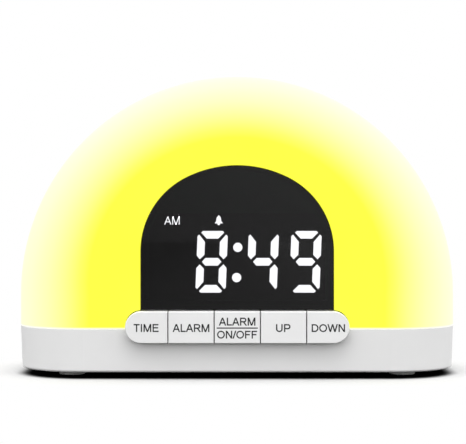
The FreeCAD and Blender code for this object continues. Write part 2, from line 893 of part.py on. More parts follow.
def make_contacts(label, polarity, tip_distance):
    """Bent leaves on the end walls of the bay, one for each cell."""
    body = new_body(label)
    skin = size.contact_thickness
    half_height = size.contact_height / 2
    for number in range(CELLS):
        side = polarity if number % 2 == 0 else -polarity
        wall = side * bay_half
        face = side * (bay_half - skin)
        tip = side * tip_distance
        inner_tip = side * (tip_distance + skin)
        free = side * (bay_half - skin * 3)
        nose = size.contact_nose
        fold = half_height - skin * 2
        along = first_cell + size.cell_pitch * number - size.contact_width / 2
        leaf = Drawing(body, FRONT, along)
        leaf.outline(
            (wall, cell_level - half_height),
            (wall, cell_level + half_height),
            (face, cell_level + half_height),
            (tip, cell_level + nose),
            (tip, cell_level - nose),
            (free, cell_level - size.contact_tail),
            (inner_tip, cell_level - nose + skin),
            (inner_tip, cell_level + nose - skin),
            (face, cell_level + fold),
            (face, cell_level - half_height))
        leaf.add(size.contact_width)


def make_lens():
    """Smoked window with a flange that bears on the inside of the dome's front wall."""
    body = new_body("display_lens")
    face = arch_outline(Drawing(body, FRONT, front + size.lens_setback), zero, lens_bottom)
    face.add(size.dome_wall - size.lens_setback)
    flange = arch_outline(Drawing(body, FRONT, front + size.dome_wall), size.lens_flange,
                          lens_bottom)
    flange.add(size.lens_flange_thickness)


def make_arch_ring(label, start, length):
    """A closed ring that follows the arch, as wide as the shroud's wall."""
    body = new_body(label)
    ring = Drawing(body, FRONT, start)
    arch_outline(ring, size.lens_flange, size.display_sill)
    arch_outline(ring, size.lens_flange - size.shroud_wall, size.display_sill + size.shroud_wall)
    ring.add(length)


def make_display_module():
    """Black block of the four digits, with its upper corners cropped to clear the arch."""
    body = new_body("display_module")
    module_top = module_shoulder + size.module_crop_height
    block = Drawing(body, FRONT, module_front)
    block.outline(
        (-module_half, module_bottom),
        (module_half, module_bottom),
        (module_half, module_shoulder),
        (module_half - size.module_crop, module_top),
        (size.module_crop - module_half, module_top),
        (-module_half, module_shoulder))
    block.add(size.module_thickness)


def segment_corners(name):
    """The outline of a segment, measured from the middle of an upright digit."""
    half_width = size.digit_width / 2
    half_height = size.digit_height / 2
    stroke = size.segment_stroke
    gap = size.segment_gap
    bevel = size.segment_bevel
    inner = half_width - stroke
    tip = half_width - size.segment_corner
    taper = size.segment_taper
    if name in "ad":
        points = [
            (-tip, half_height - bevel), (bevel - tip, half_height),
            (tip - bevel, half_height), (tip, half_height - bevel),
            (inner - taper, half_height - stroke), (taper - inner, half_height - stroke)]
        return [(across, up if name == "a" else -up) for across, up in points]
    if name == "g":
        shoulder = inner - size.bar_shoulder
        reach = half_width - size.bar_reach
        return [(-reach, zero), (-shoulder, stroke / 2), (shoulder, stroke / 2), (reach, zero),
                (shoulder, -stroke / 2), (-shoulder, -stroke / 2)]
    top = half_height - size.segment_corner
    shoulder = size.stem_shoulder
    points = [
        (half_width - bevel, top), (half_width, top - bevel), (half_width, size.stem_foot),
        (half_width - bevel * 2, gap), (inner, stroke / 2 + shoulder),
        (inner, half_height - stroke - shoulder)]
    return [(-across if name in "ef" else across, -up if name in "ce" else up)
            for across, up in points]


def make_segments(label, lit):
    """Every lit or unlit segment of the digits, and the colon with the lit ones."""
    body = new_body(label)
    lean = angle_size("tan", size.digit_lean)
    near = size.colon_pitch / 2
    far = near + size.digit_pitch
    start = module_front - size.segment_height
    for across, lit_names in zip((-far, -near, near, far), LIT_SEGMENTS):
        names = [name for name in "abcdefg" if (name in lit_names) == lit]
        if not names:
            continue
        drawing = Drawing(body, FRONT, start)
        for name in names:
            points = [
                (across + point_across + point_up * lean, size.digit_middle + point_up)
                for point_across, point_up in segment_corners(name)]
            drawing.outline(*points)
        drawing.add(size.segment_height)
    if lit:
        colon = Drawing(body, FRONT, start)
        for side in (-1, 1):
            spread = side * size.colon_spread
            colon.circle(spread * lean, size.digit_middle - size.colon_drop + spread,
                         size.colon_radius)
        colon.add(size.segment_height)


def make_main_board():
    body = new_body("main_board")
    board = arch_outline(Drawing(body, FRONT, board_front), size.board_margin, size.display_sill)
    board.add(size.board_thickness)
    holes = circles(Drawing(body, FRONT, board_front), board_boss_places,
                    size.small_screw_radius + size.fit_gap)
    holes.cut(size.board_thickness)


def make_board_parts():
    """Clock chip, its crystal and a capacitor on the back of the main board."""
    half = size.chip_width / 2
    box("clock_chip", size.chip_offset - half, board_back, size.lens_spring - half,
        size.chip_width, size.chip_height, size.chip_width)
    crystal = cylinder("clock_crystal", -size.crystal_length / 2,
                       board_back + size.crystal_radius, size.lens_spring,
                       size.crystal_radius, size.crystal_length)
    crystal.Placement.Rotation = FreeCAD.Rotation(FreeCAD.Vector(0, 1, 0), 90)
    cylinder("main_capacitor", -size.capacitor_offset, board_back, size.lens_spring,
             size.capacitor_radius, size.capacitor_height, -90)


def make_display_cover():
    """White cap behind the main board that keeps lamp light off the display."""
    body = new_body("display_cover")
    outside = arch_outline(Drawing(body, FRONT, board_back), size.board_margin,
                           size.display_sill)
    outside.add(size.cover_depth)
    inside = arch_outline(Drawing(body, FRONT, board_back), size.board_margin - size.cover_wall,
                          size.display_sill + size.cover_wall)
    inside.cut(size.cover_depth - size.cover_wall)
    slot = Drawing(body, FRONT, board_back)
    slot.rectangle(-size.cover_slot / 2, size.cover_slot / 2, size.display_sill,
                   size.display_sill + size.cover_wall)
    slot.cut(size.cover_depth / 2)


def key_edges(place):
    """Left and right ends of a key, with a gap to each neighbour."""
    half_gap = size.key_gap / 2
    left = -key_bar_half if place == FIRST_KEY else (place - 0.5) * key_pitch + half_gap
    right = key_bar_half if place == LAST_KEY else (place + 0.5) * key_pitch - half_gap
    return left, right


def key_outline(drawing, place, inset):
    """The face of a key. The outer ends of the first and last key are half round."""
    left, right = key_edges(place)
    left = left + inset
    right = right - inset
    bottom = size.key_base + inset
    top = key_top - inset
    radius = (top - bottom) / 2
    if place == FIRST_KEY:
        return drawing.outline(
            (left + radius, bottom),
            (right, bottom),
            (right, top),
            (left + radius, top),
            (left + radius, bottom, left + radius, key_middle))
    if place == LAST_KEY:
        return drawing.outline(
            (left, bottom),
            (right - radius, bottom),
            (right - radius, top, right - radius, key_middle),
            (left, top))
    return drawing.rectangle(left, right, bottom, top)


def make_key(label, place):
    """Hollow key cap with a keeper flange behind the wall and a post for its switch."""
    body = new_body(label)
    face = front - size.key_proud
    cap = key_outline(Drawing(body, FRONT, face), place, zero)
    slab = cap.add(size.key_proud + key_back)
    dress("Fillet", body, edges_at(slab.Shape, "Y", face), size.key_edge_radius)
    left, right = key_edges(place)
    flange_left = left + (size.key_height / 2 if place == FIRST_KEY else size.key_gap)
    flange_right = right - (size.key_height / 2 if place == LAST_KEY else size.key_gap)
    flange = Drawing(body, FRONT, front + size.key_flange_depth)
    flange.rectangle(flange_left, flange_right, size.key_base - size.key_flange,
                     key_top + size.key_flange)
    flange.add(size.key_flange_thickness)
    hollow = key_outline(Drawing(body, FRONT, face + size.key_face), place, size.key_wall)
    hollow.cut(size.key_proud + key_back - size.key_face)
    post = Drawing(body, FRONT, face + size.key_face)
    post.circle(place * key_pitch, key_middle, size.key_post_radius)
    post.add(size.key_proud + post_end - size.key_face)


def make_switches():
    """Tact switches on the key board, each with a bore for its plunger."""
    body = new_body("switch_bodies")
    start = key_pitch * FIRST_KEY
    half = size.switch_width / 2
    case = Drawing(body, FRONT, front + switch_front)
    case.rectangle(start - half, start + half, key_middle - half, key_middle + half)
    case_pad = case.add(size.switch_depth)
    bore = Drawing(body, FRONT, front + switch_front)
    bore.circle(start, key_middle, size.plunger_radius + size.plunger_play)
    bore_cut = bore.cut(size.plunger_seat + size.key_travel + size.plunger_play)
    bore.repeat([case_pad, bore_cut], "X_Axis", key_pitch, len(KEYS))
    for label, place in KEYS.items():
        cylinder(label + "_plunger", place * key_pitch, front + post_end, key_middle,
                 size.plunger_radius, size.plunger_reach + size.plunger_seat, -90)


def make_key_board():
    body = new_body("key_board")
    board = Drawing(body, FRONT, front + key_board_front)
    bottom = floor_level + size.key_board_lift
    board.rectangle(-key_board_half, key_board_half, bottom, bottom + size.key_board_height)
    board.add(size.board_thickness)


def make_lamp_deck():
    """White tray on the battery bay that holds the lamp board."""
    body = new_body("lamp_deck")
    tray = Drawing(body, PLAN, bay_top)
    tray.rectangle(-deck_half, deck_half, deck_front, deck_back)
    tray.add(size.deck_floor + size.deck_rim)
    well = Drawing(body, PLAN, lamp_board_level)
    wall = size.deck_wall
    well.rectangle(wall - deck_half, deck_half - wall, deck_front + wall, deck_back - wall)
    well.cut(size.deck_rim)
    circles(Drawing(body, PLAN, bay_top), deck_screw_places,
            size.small_screw_radius + size.fit_gap).cut(size.deck_floor)


def make_lamp_board():
    body = new_body("lamp_board")
    margin = size.lamp_board_margin
    board = Drawing(body, PLAN, lamp_board_level)
    board.rectangle(margin - deck_half, deck_half - margin, deck_front + margin,
                    deck_back - margin)
    board.add(size.board_thickness)
    circles(Drawing(body, PLAN, lamp_board_level), deck_screw_places,
            size.small_screw_radius + size.fit_gap).cut(size.board_thickness)


def make_lamps():
    """Square lamp packages in two rows on the lamp board."""
    body = new_body("lamp_leds")
    half = size.lamp_width / 2
    start = size.lamp_pitch * (1 - LAMPS_IN_ROW) / 2
    row = Drawing(body, PLAN, lamp_level)
    for number in range(LAMP_ROWS):
        along = front + size.lamp_row_depth + size.lamp_row_pitch * number
        row.rectangle(start - half, start + half, along - half, along + half)
    row.repeat([row.add(size.lamp_height)], "X_Axis", size.lamp_pitch, LAMPS_IN_ROW)


def make_speaker():
    """Small speaker that lies face down over the grille: basket, cone and magnet."""
    basket = new_body("speaker_frame")
    top = size.speaker_basket + size.speaker_skin
    radius = size.speaker_radius
    profile = Drawing(basket, FRONT, zero)
    profile.outline(
        (radius - size.speaker_rim, zero),
        (radius, zero),
        (radius, size.speaker_flange),
        (radius - size.speaker_rim + size.speaker_skin, size.speaker_flange),
        (size.speaker_throat, top),
        (size.speaker_hole, top),
        (size.speaker_hole, size.speaker_basket),
        (size.speaker_throat - size.speaker_skin, size.speaker_basket))
    profile.revolve()
    move(basket, size.speaker_offset, middle, floor_level)
    cone = new_body("speaker_cone")
    skin = size.cone_skin
    lift = size.cone_lift
    profile = Drawing(cone, FRONT, zero)
    profile.outline(
        (zero, lift + size.cone_height),
        (size.cone_cap_radius, lift + size.cone_height),
        (size.cone_radius - skin, lift),
        (size.cone_radius, lift),
        (size.cone_radius, lift + skin),
        (size.cone_cap_radius, lift + size.cone_height + skin),
        (zero, lift + size.cone_height + skin))
    profile.revolve()
    move(cone, size.speaker_offset, middle, floor_level)
    cylinder("speaker_magnet", size.speaker_offset, middle, floor_level + top,
             size.magnet_radius, size.magnet_height)


def make_power_inlet():
    """Power socket: a folded metal shell around an insulator with a contact tongue."""
    shell_front = back - size.inlet_setback - size.inlet_length
    shell = new_body("inlet_shell")
    wall = Drawing(shell, FRONT, shell_front)
    inlet_outline(wall, zero)
    inlet_outline(wall, -size.inlet_skin)
    wall.add(size.inlet_length)
    tongue = new_body("inlet_tongue")
    block = inlet_outline(Drawing(tongue, FRONT, shell_front), -size.inlet_skin)
    block.add(size.inlet_block)
    blade = Drawing(tongue, FRONT, shell_front)
    blade.rectangle(inlet_x - size.tongue_width / 2, inlet_x + size.tongue_width / 2,
                    inlet_level - size.tongue_height / 2, inlet_level + size.tongue_height / 2)
    blade.add(size.inlet_block + size.tongue_length)
    board = new_body("power_board")
    plate = Drawing(board, PLAN, standoff_top)
    plate.rectangle(inlet_x - size.power_board_width / 2, inlet_x + size.power_board_width / 2,
                    power_board_front, power_board_back)
    plate.add(size.board_thickness)
    circles(Drawing(board, PLAN, standoff_top), power_screw_places,
            size.small_screw_radius + size.fit_gap).cut(size.board_thickness)
    cylinder("power_capacitor", inlet_x, power_board_front + size.power_board_length / 2,
             power_board_top, size.capacitor_radius, size.capacitor_height)


def make_clock():
    make_dome()
    make_base()
    make_feet()
    make_screws("housing_screws", PLAN, housing_screw_places, screw_seat,
                size.screw_head_radius, size.screw_head_height, size.screw_shank_radius,
                size.screw_length, True)
    make_door()
    make_cells()
    make_contacts("positive_contacts", 1, size.cell_length / 2 + size.cell_nub_length)
    make_contacts("negative_contacts", -1, size.cell_length / 2)
    make_lens()
    make_arch_ring("lens_gasket", flange_back, size.gasket_thickness)
    make_arch_ring("display_shroud", shroud_front, size.shroud_depth)
    make_display_module()
    make_segments("lit_segments", True)
    make_segments("unlit_segments", False)
    make_main_board()
    make_board_parts()
    make_screws("board_screws", FRONT, board_boss_places, board_back, size.small_head_radius,
                size.small_head_height, size.small_screw_radius, size.small_screw_length, False)
    make_display_cover()
    for label, place in KEYS.items():
        make_key(label, place)
    make_switches()
    make_key_board()
    make_lamp_deck()
    make_lamp_board()
    make_lamps()
    make_screws("deck_screws", PLAN, deck_screw_places, lamp_level, size.small_head_radius,
                size.small_head_height, size.small_screw_radius, size.small_screw_length, False)
    make_speaker()
    make_power_inlet()
    make_screws("power_board_screws", PLAN, power_screw_places, power_board_top,
                size.small_head_radius, size.small_head_height, size.small_screw_radius,
                size.standoff_height + size.board_thickness, False)


def check_parts():
    document.recompute()
    for thing in document.Objects:
        if {"Invalid", "Error"} & set(thing.State):
            raise RuntimeError("%s is %s" % (thing.Label, thing.State))
    for part in made_parts:
        if part.Shape.isNull() or not part.Shape.isValid() or not part.Shape.Solids:
            raise RuntimeError("%s has no valid solid" % part.Label)


def write_parts():
    os.makedirs("parts", exist_ok=True)
    for part in made_parts:
        part.Shape.exportStep("parts/%s.step" % part.Label)
        print(part.Label, len(part.Shape.Solids), round(part.Shape.Volume, 1))


make_clock()
check_parts()
write_parts()
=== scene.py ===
"""Sunrise alarm clock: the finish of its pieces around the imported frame, and the stage."""

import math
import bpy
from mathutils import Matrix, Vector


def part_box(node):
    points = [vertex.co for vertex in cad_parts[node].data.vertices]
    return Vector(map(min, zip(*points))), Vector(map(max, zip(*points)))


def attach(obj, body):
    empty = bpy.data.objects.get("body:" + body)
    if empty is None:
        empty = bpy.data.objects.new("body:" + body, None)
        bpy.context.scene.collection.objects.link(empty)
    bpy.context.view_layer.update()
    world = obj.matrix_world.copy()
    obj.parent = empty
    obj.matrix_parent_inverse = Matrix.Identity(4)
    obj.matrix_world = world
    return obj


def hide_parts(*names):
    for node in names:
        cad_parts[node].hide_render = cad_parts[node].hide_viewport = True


bl_info = {
    "name": "Sunrise alarm clock",
    "version": (1, 0, 0),
    "blender": (4, 5, 0),
    "location": "View3D > Sidebar > Clock",
    "description": "Shapes and finishes a half-round sunrise alarm clock and sets its stage",
    "category": "Object",
}

import bmesh
import bpy
import numpy as np
from bpy.props import FloatProperty, FloatVectorProperty, PointerProperty
from mathutils import Vector

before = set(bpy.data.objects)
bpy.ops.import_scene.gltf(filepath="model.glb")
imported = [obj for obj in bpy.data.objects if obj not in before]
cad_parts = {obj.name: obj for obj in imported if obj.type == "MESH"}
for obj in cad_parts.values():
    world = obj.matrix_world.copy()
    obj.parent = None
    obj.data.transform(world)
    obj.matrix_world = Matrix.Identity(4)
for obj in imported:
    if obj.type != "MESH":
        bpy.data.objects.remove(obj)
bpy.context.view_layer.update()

MM = 0.001
CASE = "clock_case"
DOME_LOW, DOME_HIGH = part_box("dome_diffuser")
LENS_LOW, LENS_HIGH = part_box("display_lens")
FEET_LOW, FEET_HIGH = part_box("rubber_feet")
KEY_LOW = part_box("alarm_switch_button")[0]
DIGIT_LOW, DIGIT_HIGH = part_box("lit_segments")
# Steps that the CAD solids have and their boxes don't tell, and the clearances of thin prints
CAP_STEP = 1.0 * MM
LEDGE_DEPTH = 1.0 * MM
SEAT_GAP = 0.04 * MM
PRINT_COVER = 0.01 * MM
PRINT_MARGIN = 0.1 * MM
INK_SINK = 0.01 * MM
# Half the printed sleeve of a cell, in millimetres
SLEEVE_HALF = 18.0

SLOTS = {name: piece.material_slots[0].material.name.split(".")[0]
         for name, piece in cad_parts.items()}


def linear(code):
    """An sRGB colour such as "#E1E1E1" as linear red, green and blue, and an alpha of 1."""
    channels = np.array([int(code[start:start + 2], 16) for start in (1, 3, 5)]) / 255
    curve = np.where(channels <= 0.04045, channels / 12.92, ((channels + 0.055) / 1.055) ** 2.4)
    return (*curve.tolist(), 1.0)


# Sizes, colours and light that a user would change


def length(name, description, default):
    return FloatProperty(name=name, description=description, default=default,
                         unit="LENGTH", subtype="DISTANCE", precision=5)


def light_strength(name, description, default):
    return FloatProperty(name=name, description=description, default=default, min=0)


def colour(name, description, code):
    return FloatVectorProperty(name=name, description=description, default=linear(code),
                               size=4, min=0, max=1, subtype="COLOR")


class ClockForm(bpy.types.PropertyGroup):
    """Sizes of the pieces that are shaped here."""

    rim_radius: length("Rim radius", "Rounding from the flat faces to the dome's edge", 22 * MM)
    dome_wall: length("Dome wall", "Thickness of the moulded lamp cover", 2 * MM)
    edge_round: length("Edge rounding", "Small radius on the cover's open edges", 0.25 * MM)
    window_gap: length("Window gap", "Clearance between the display window and the cover",
                       0.2 * MM)
    key_gap: length("Key gap", "Clearance between the key bar and the cover", 0.3 * MM)
    key_overhang: length("Key overhang", "How far the key bar reaches past the window", 4.6 * MM)
    lens_flange: length("Lens flange", "Width of the ledge that holds the window", 1.8 * MM)
    lens_spring: length("Spring height", "Where the window's sides begin to curve", 39.2 * MM)
    lens_shoulder: length("Shoulder radius", "Radius of the window's shoulders", 25.25 * MM)
    lens_round: length("Lens rounding", "Polished edge of the window", 0.2 * MM)
    foot_radius: length("Foot radius", "Radius of a rubber foot", 4.2 * MM)
    letter_height: length("Letter height", "Height of the capitals on the keys", 2.42 * MM)
    print_relief: length("Print relief", "Thickness of printed ink", 0.015 * MM)
    print_width: length("Print width", "How far the window's black border reaches inwards",
                        1.5 * MM)
    print_sill: length("Print sill", "Height of the border along the window's foot", 2.6 * MM)
    sign_height: length("Sign height", "Height of the small signs above the digits", 2.42 * MM)


class ClockColours(bpy.types.PropertyGroup):
    """Colours of the main finishes."""

    # Glow and glow edge colour the cover's painted glow: the cover emits them itself, yellow in
    # the middle and painted pale towards the rim
    glow: colour("Glow", "Lamp cover over the lamps", "#FFFF40")
    glow_edge: colour("Glow edge", "Lamp cover at its rounded rim", "#FFFDD2")
    shell: colour("Shell", "Base housing and battery door", "#E6E6E6")
    keys: colour("Keys", "Key caps", "#E8E8E8")
    ink: colour("Ink", "Lettering on the keys", "#121212")
    smoke: colour("Smoke", "Tint of the display window", "#6C6C6E")
    digits: colour("Digits", "Lit digits and signs", "#FFFFFF")
    rubber: colour("Rubber", "Feet", "#CBCBC8")


class ClockLight(bpy.types.PropertyGroup):
    """Strength of the lamps and of the studio."""

    softbox: light_strength("Softbox", "Power of the main lamp in watts", 2.6)
    studio: light_strength("Studio", "Strength of the light from all round", 1.75)
    dome: light_strength("Dome glow", "Emission strength of the lamp cover", 0.92)
    display: light_strength("Display", "Emission strength of the lit digits", 7.4)


# Meshes from arrays of points


def add_piece(name, points, faces, body):
    """Make an object from points in metres, riding on a body of the frame."""
    mesh = bpy.data.meshes.new(name)
    mesh.from_pydata(points.reshape(-1, 3), [], faces)
    mesh.update()
    piece = bpy.data.objects.new(name, mesh)
    bpy.context.scene.collection.objects.link(piece)
    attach(piece, body)
    return piece


def grid_faces(rows, columns, closed=False, first=0):
    """Quads between neighbouring rows and columns. Closed joins the last column to the first."""
    across = np.arange(columns if closed else columns - 1)
    row, column = np.meshgrid(np.arange(rows - 1), across, indexing="ij")
    right = (column + 1) % columns
    corners = [row * columns + column, row * columns + right,
               (row + 1) * columns + right, (row + 1) * columns + column]
    return (np.stack(corners, axis=-1).reshape(-1, 4) + first).tolist()


def ring_stack(rows):
    """Faces of closed rings of points, one above another, with a flat cap on each end."""
    count, columns = rows.shape[:2]
    last = (count - 1) * columns
    caps = [list(range(columns))[::-1], list(range(last, last + columns))]
    return grid_faces(count, columns, closed=True) + caps


def upright(outline, depth):
    """Points across and up, stood up at a depth."""
    return np.insert(np.asarray(outline), 1, depth, axis=1)


def close_poles(piece):
    """Merge points that fall together, so that poles and seams are closed."""
    work = bmesh.new()
    work.from_mesh(piece.data)
    bmesh.ops.remove_doubles(work, verts=work.verts, dist=0.001 * MM)
    work.to_mesh(piece.data)
    work.free()


def smooth(piece, angle):
    """Shade round faces smoothly and keep edges sharper than an angle in degrees."""
    piece.data.shade_smooth()
    piece.data.set_sharp_from_angle(angle=math.radians(angle))


def modify(piece, kind, **settings):
    modifier = piece.modifiers.new(kind.title(), kind)
    for name, value in settings.items():
        setattr(modifier, name, value)


def finish_edges(piece, width):
    """A small bevel on sharp edges, with face-weighted normals."""
    modify(piece, "BEVEL", width=width, segments=3, limit_method="ANGLE",
           angle_limit=math.radians(40))
    modify(piece, "WEIGHTED_NORMAL", keep_sharp=True)


def arc(centre, radius, start, end, count):
    """Points on a circle: centre plus radius times cosine and sine of the angle in degrees."""
    angle = np.radians(np.linspace(start, end, count))
    return np.stack([centre[0] + radius * np.cos(angle), centre[1] + radius * np.sin(angle)],
                    axis=-1)


# Forms


def window_form(form):
    """Sizes of the three-centred arch of the display window."""
    half = (LENS_HIGH.x - LENS_LOW.x) / 2 - form.lens_flange
    top = LENS_HIGH.z - form.lens_flange
    shift = half - form.lens_shoulder
    rise = top - form.lens_spring
    radius = (shift ** 2 + rise ** 2 - form.lens_shoulder ** 2) / (2 * (rise - form.lens_shoulder))
    return half, shift, radius, top - radius


def window_outline(form, offset, bottom):
    """The display window widened by an offset, counterclockwise from its lower left corner.

    Straight sides end at the spring line. Two shoulder arcs lead from there to a crown arc of a
    larger radius, and all three are tangent where they meet.
    """
    half, shift, radius, level = window_form(form)
    lean = math.degrees(math.atan2(form.lens_spring - level, shift))
    spring = form.lens_spring
    shoulder = form.lens_shoulder + offset
    side = np.linspace(bottom, spring, 9)[:-1]
    right = np.stack([np.full_like(side, half + offset), side], axis=-1)
    points = [
        np.stack([np.linspace(-half - offset, half + offset, 13)[:-1], np.full(12, bottom)],
                 axis=-1),
        right,
        arc((shift, spring), shoulder, 0, lean, 25)[:-1],
        arc((0, level), radius + offset, lean, 180 - lean, 33)[:-1],
        arc((-shift, spring), shoulder, 180 - lean, 180, 25)[:-1],
        np.stack([-right[::-1, 0], right[::-1, 1] + (spring - bottom) / 8], axis=-1),
    ]
    return np.concatenate(points)


def opening_reach(form, angle):
    """Distance from the middle of the seam to the edge of the cover's opening, along each ray.

    It is the larger of two reaches: to the round end of the key bar's pill, and to the display
    window, which is its straight side below the spring line and its arch above.
    """
    half, shift, radius, level = window_form(form)
    half, radius = half + form.window_gap, radius + form.window_gap
    shoulder = form.lens_shoulder + form.window_gap
    base = DOME_LOW.z
    cosine, sine = np.abs(np.cos(angle)), np.sin(angle)

    def to_circle(across, up, size):
        inward = across * cosine + (up - base) * sine
        inside = size ** 2 - (across ** 2 + (up - base) ** 2 - inward ** 2)
        return inward + np.sqrt(np.maximum(inside, 0)), inside > 0

    side = half / np.maximum(cosine, 1e-9)
    round_side, _ = to_circle(shift, form.lens_spring, shoulder)
    crown, _ = to_circle(0.0, level, radius)
    join = shift * radius / (radius - shoulder)
    arch = np.where(round_side * cosine > join, round_side, crown)
    arch = np.where(base + side * sine < form.lens_spring, side, arch)
    pill_radius = (LENS_LOW.z - key_bar_low()) / 2 + form.key_gap / 2
    pill_up = LENS_LOW.z - pill_radius
    pill_across = (half - form.window_gap + form.key_overhang + form.key_gap) - pill_radius
    pill, hits = to_circle(pill_across, pill_up, pill_radius)
    return np.maximum(arch, np.where(hits & (pill * cosine > half), pill, 0))


def key_bar_low():
    """Lower edge of the key caps, which stand in front of their flanges by the same step."""
    return KEY_LOW.z + CAP_STEP


def make_dome(form):
    """The lamp cover as one surface over a fan of rays and a profile from front to back.

    Each ray starts at the middle of the seam. Rows run along it over the flat front, from the
    opening's edge to the inset outline, then round the rim, where the outline moves outwards by
    the rim radius times the sine of the turn while the depth grows by the radius times one minus
    its cosine, then over the middle band and back in mirror image to the middle of the seam.
    """
    base, front, back = DOME_LOW.z, DOME_LOW.y, DOME_HIGH.y
    outer = (DOME_HIGH.x - DOME_LOW.x) / 2
    rise = DOME_HIGH.z - outer - base
    rim = form.rim_radius
    inset = outer - rim
    half, shift, radius, level = window_form(form)
    shoulder_turn = math.atan2(form.lens_spring - level, shift)
    corner = math.atan2(LENS_LOW.z - 0.02 * MM - base, half + form.window_gap)
    spring = math.atan2(form.lens_spring - base, half + form.window_gap)
    join_across = (radius + form.window_gap) * math.cos(shoulder_turn)
    join_up = level + (radius + form.window_gap) * math.sin(shoulder_turn)
    join = math.atan2(join_up - base, join_across)
    stops = [0.0, corner, spring, join, math.pi / 2]
    counts = [14, 20, 30, 18]
    quarter = np.concatenate([np.linspace(begin, end, count, endpoint=False) for begin, end, count
                              in zip(stops[:-1], stops[1:], counts)])
    turns = np.concatenate([math.pi - quarter, [math.pi / 2], quarter[::-1]])
    cosine, sine = np.cos(turns), np.sin(turns)

    reach = opening_reach(form, turns)
    to_side = inset / np.maximum(np.abs(cosine), 1e-9)
    to_arc = rise * sine + np.sqrt(inset ** 2 - (rise * cosine) ** 2)
    on_side = to_side * sine < rise
    reach_inset = np.where(on_side, to_side, to_arc)
    ray = np.stack([cosine, sine], axis=-1)
    opening, edge = ray * reach[:, None], ray * reach_inset[:, None]
    outward = np.where(on_side[:, None], np.stack([np.sign(cosine), np.zeros_like(cosine)], -1),
                       (edge - np.array([0, rise])) / inset)

    share = np.linspace(0, 1, 5)[:, None, None]
    flat = opening + (edge - opening) * share
    bend = np.radians(np.linspace(0, 90, 19))[1:, None, None]
    rounded = edge + outward * rim * np.sin(bend)
    band = np.repeat(rounded[-1:], 2, axis=0)
    fan = edge * np.linspace(1, 0, 7)[1:, None, None]
    plane = np.concatenate([flat, rounded, band, rounded[-2::-1], edge[None], fan])
    round_depth = (rim * (1 - np.cos(bend)))[:, 0, 0]
    middle = np.linspace(front + rim, back - rim, 4)[1:-1]
    depth = np.concatenate([
        np.full(len(flat), front), front + round_depth, middle, [back - rim],
        back - round_depth[-2::-1], np.full(1 + len(fan), back)])
    plane = np.insert(plane, len(flat) + len(rounded) + len(band), rounded[-1], axis=0)
    points = np.stack([plane[..., 0], np.broadcast_to(depth[:, None], plane.shape[:2]),
                       plane[..., 1] + base], axis=-1)
    piece = add_piece("dome_cover", points, grid_faces(*plane.shape[:2]), CASE)
    close_poles(piece)
    smooth(piece, 30)
    modify(piece, "SOLIDIFY", thickness=form.dome_wall, offset=-1, use_even_offset=True)
    finish_edges(piece, form.edge_round)
    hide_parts("dome_diffuser")
    return piece


def make_lens(form):
    """The window as rings that follow its outline.

    The rings round the front edge, run back to the ledge, step out over it and end at its back,
    and a flat face closes each end. The bottom edge stays straight over the whole depth.
    """
    bottom, edge = LENS_LOW.z, form.lens_round
    ledge = LENS_HIGH.y - LEDGE_DEPTH
    turn = np.radians(np.linspace(0, 90, 6))
    steps = [(edge * (math.sin(step) - 1), edge * (1 - math.cos(step))) for step in turn]
    rings = [(offset, LENS_LOW.y + depth, bottom - offset) for offset, depth in steps]
    seat = LENS_HIGH.y - SEAT_GAP
    rings += [(0, ledge, bottom), (form.lens_flange, ledge, bottom),
              (form.lens_flange, seat, bottom)]
    rows = np.array([upright(window_outline(form, offset, low), depth)
                     for offset, depth, low in rings])[:, ::-1]
    piece = add_piece("display_window", rows, ring_stack(rows), CASE)
    smooth(piece, 35)
    modify(piece, "WEIGHTED_NORMAL", keep_sharp=True)
    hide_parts("display_lens")
    return piece


def make_window_print(form):
    """Black back print of the window: a thin ring between its outline and a smaller arch.

    Both outlines have the same count of points, so the ring is a strip of quads between them on
    the front, the back, the outer and the inner side.
    """
    back = LENS_HIGH.y - PRINT_COVER
    front = back - form.print_relief
    outer = (form.lens_flange - PRINT_MARGIN, LENS_LOW.z + PRINT_MARGIN)
    inner = (-form.print_width, LENS_LOW.z + form.print_sill)
    rows = np.array([upright(window_outline(form, *edge), depth) for edge, depth in (
        (outer, front), (inner, front), (inner, back), (outer, back), (outer, front))])[:, ::-1]
    faces = grid_faces(*rows.shape[:2], closed=True)
    piece = add_piece("window_print", rows, faces, CASE)
    close_poles(piece)
    return piece


def lathe(name, profile, centres, body, columns=64):
    """Round pieces turned about upright axes: each profile point's radius goes round a circle."""
    angle = np.linspace(0, 2 * np.pi, columns, endpoint=False)
    round_x, round_y = np.cos(angle), np.sin(angle)
    radius, up = np.array(profile).T
    parts, faces = [], []
    for across, along in centres:
        rows = np.stack([across + radius[:, None] * round_x, along + radius[:, None] * round_y,
                         np.broadcast_to(up[:, None], (len(up), columns))], axis=-1)
        faces += grid_faces(len(up), columns, closed=True, first=len(parts) * len(up) * columns)
        parts.append(rows.reshape(-1, 3))
    piece = add_piece(name, np.concatenate(parts), faces, body)
    close_poles(piece)
    smooth(piece, 40)
    return piece


def make_feet(form):
    """Moulded rubber feet: a low disc with a rounded foot edge and a shallow dish below."""
    radius, top = form.foot_radius, FEET_HIGH.z
    turn = np.radians(np.linspace(0, 90, 7))
    soft = 0.6 * MM
    rounded = [(radius - soft + soft * math.sin(step), soft - soft * math.cos(step))
               for step in turn]
    profile = [(0, 0.25 * MM), (radius * 0.55, 0.22 * MM), (radius * 0.72, 0.05 * MM),
               (radius * 0.78, 0), *rounded, (radius, top - 0.2 * MM), (radius - 0.2 * MM, top),
               (0, top)]
    centres = [(across, along) for across in (FEET_LOW.x + radius, FEET_HIGH.x - radius)
               for along in (FEET_LOW.y + radius, FEET_HIGH.y - radius)]
    piece = lathe("rubber_foot_pads", profile, centres, CASE)
    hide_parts("rubber_feet")
    return piece


def flat_plate(name, outline, front, back, body):
    """An upright plate: an outline of points, counterclockwise from the front, made thick."""
    rows = np.stack([upright(outline, depth) for depth in (back, front)])
    return add_piece(name, rows, ring_stack(rows), body)


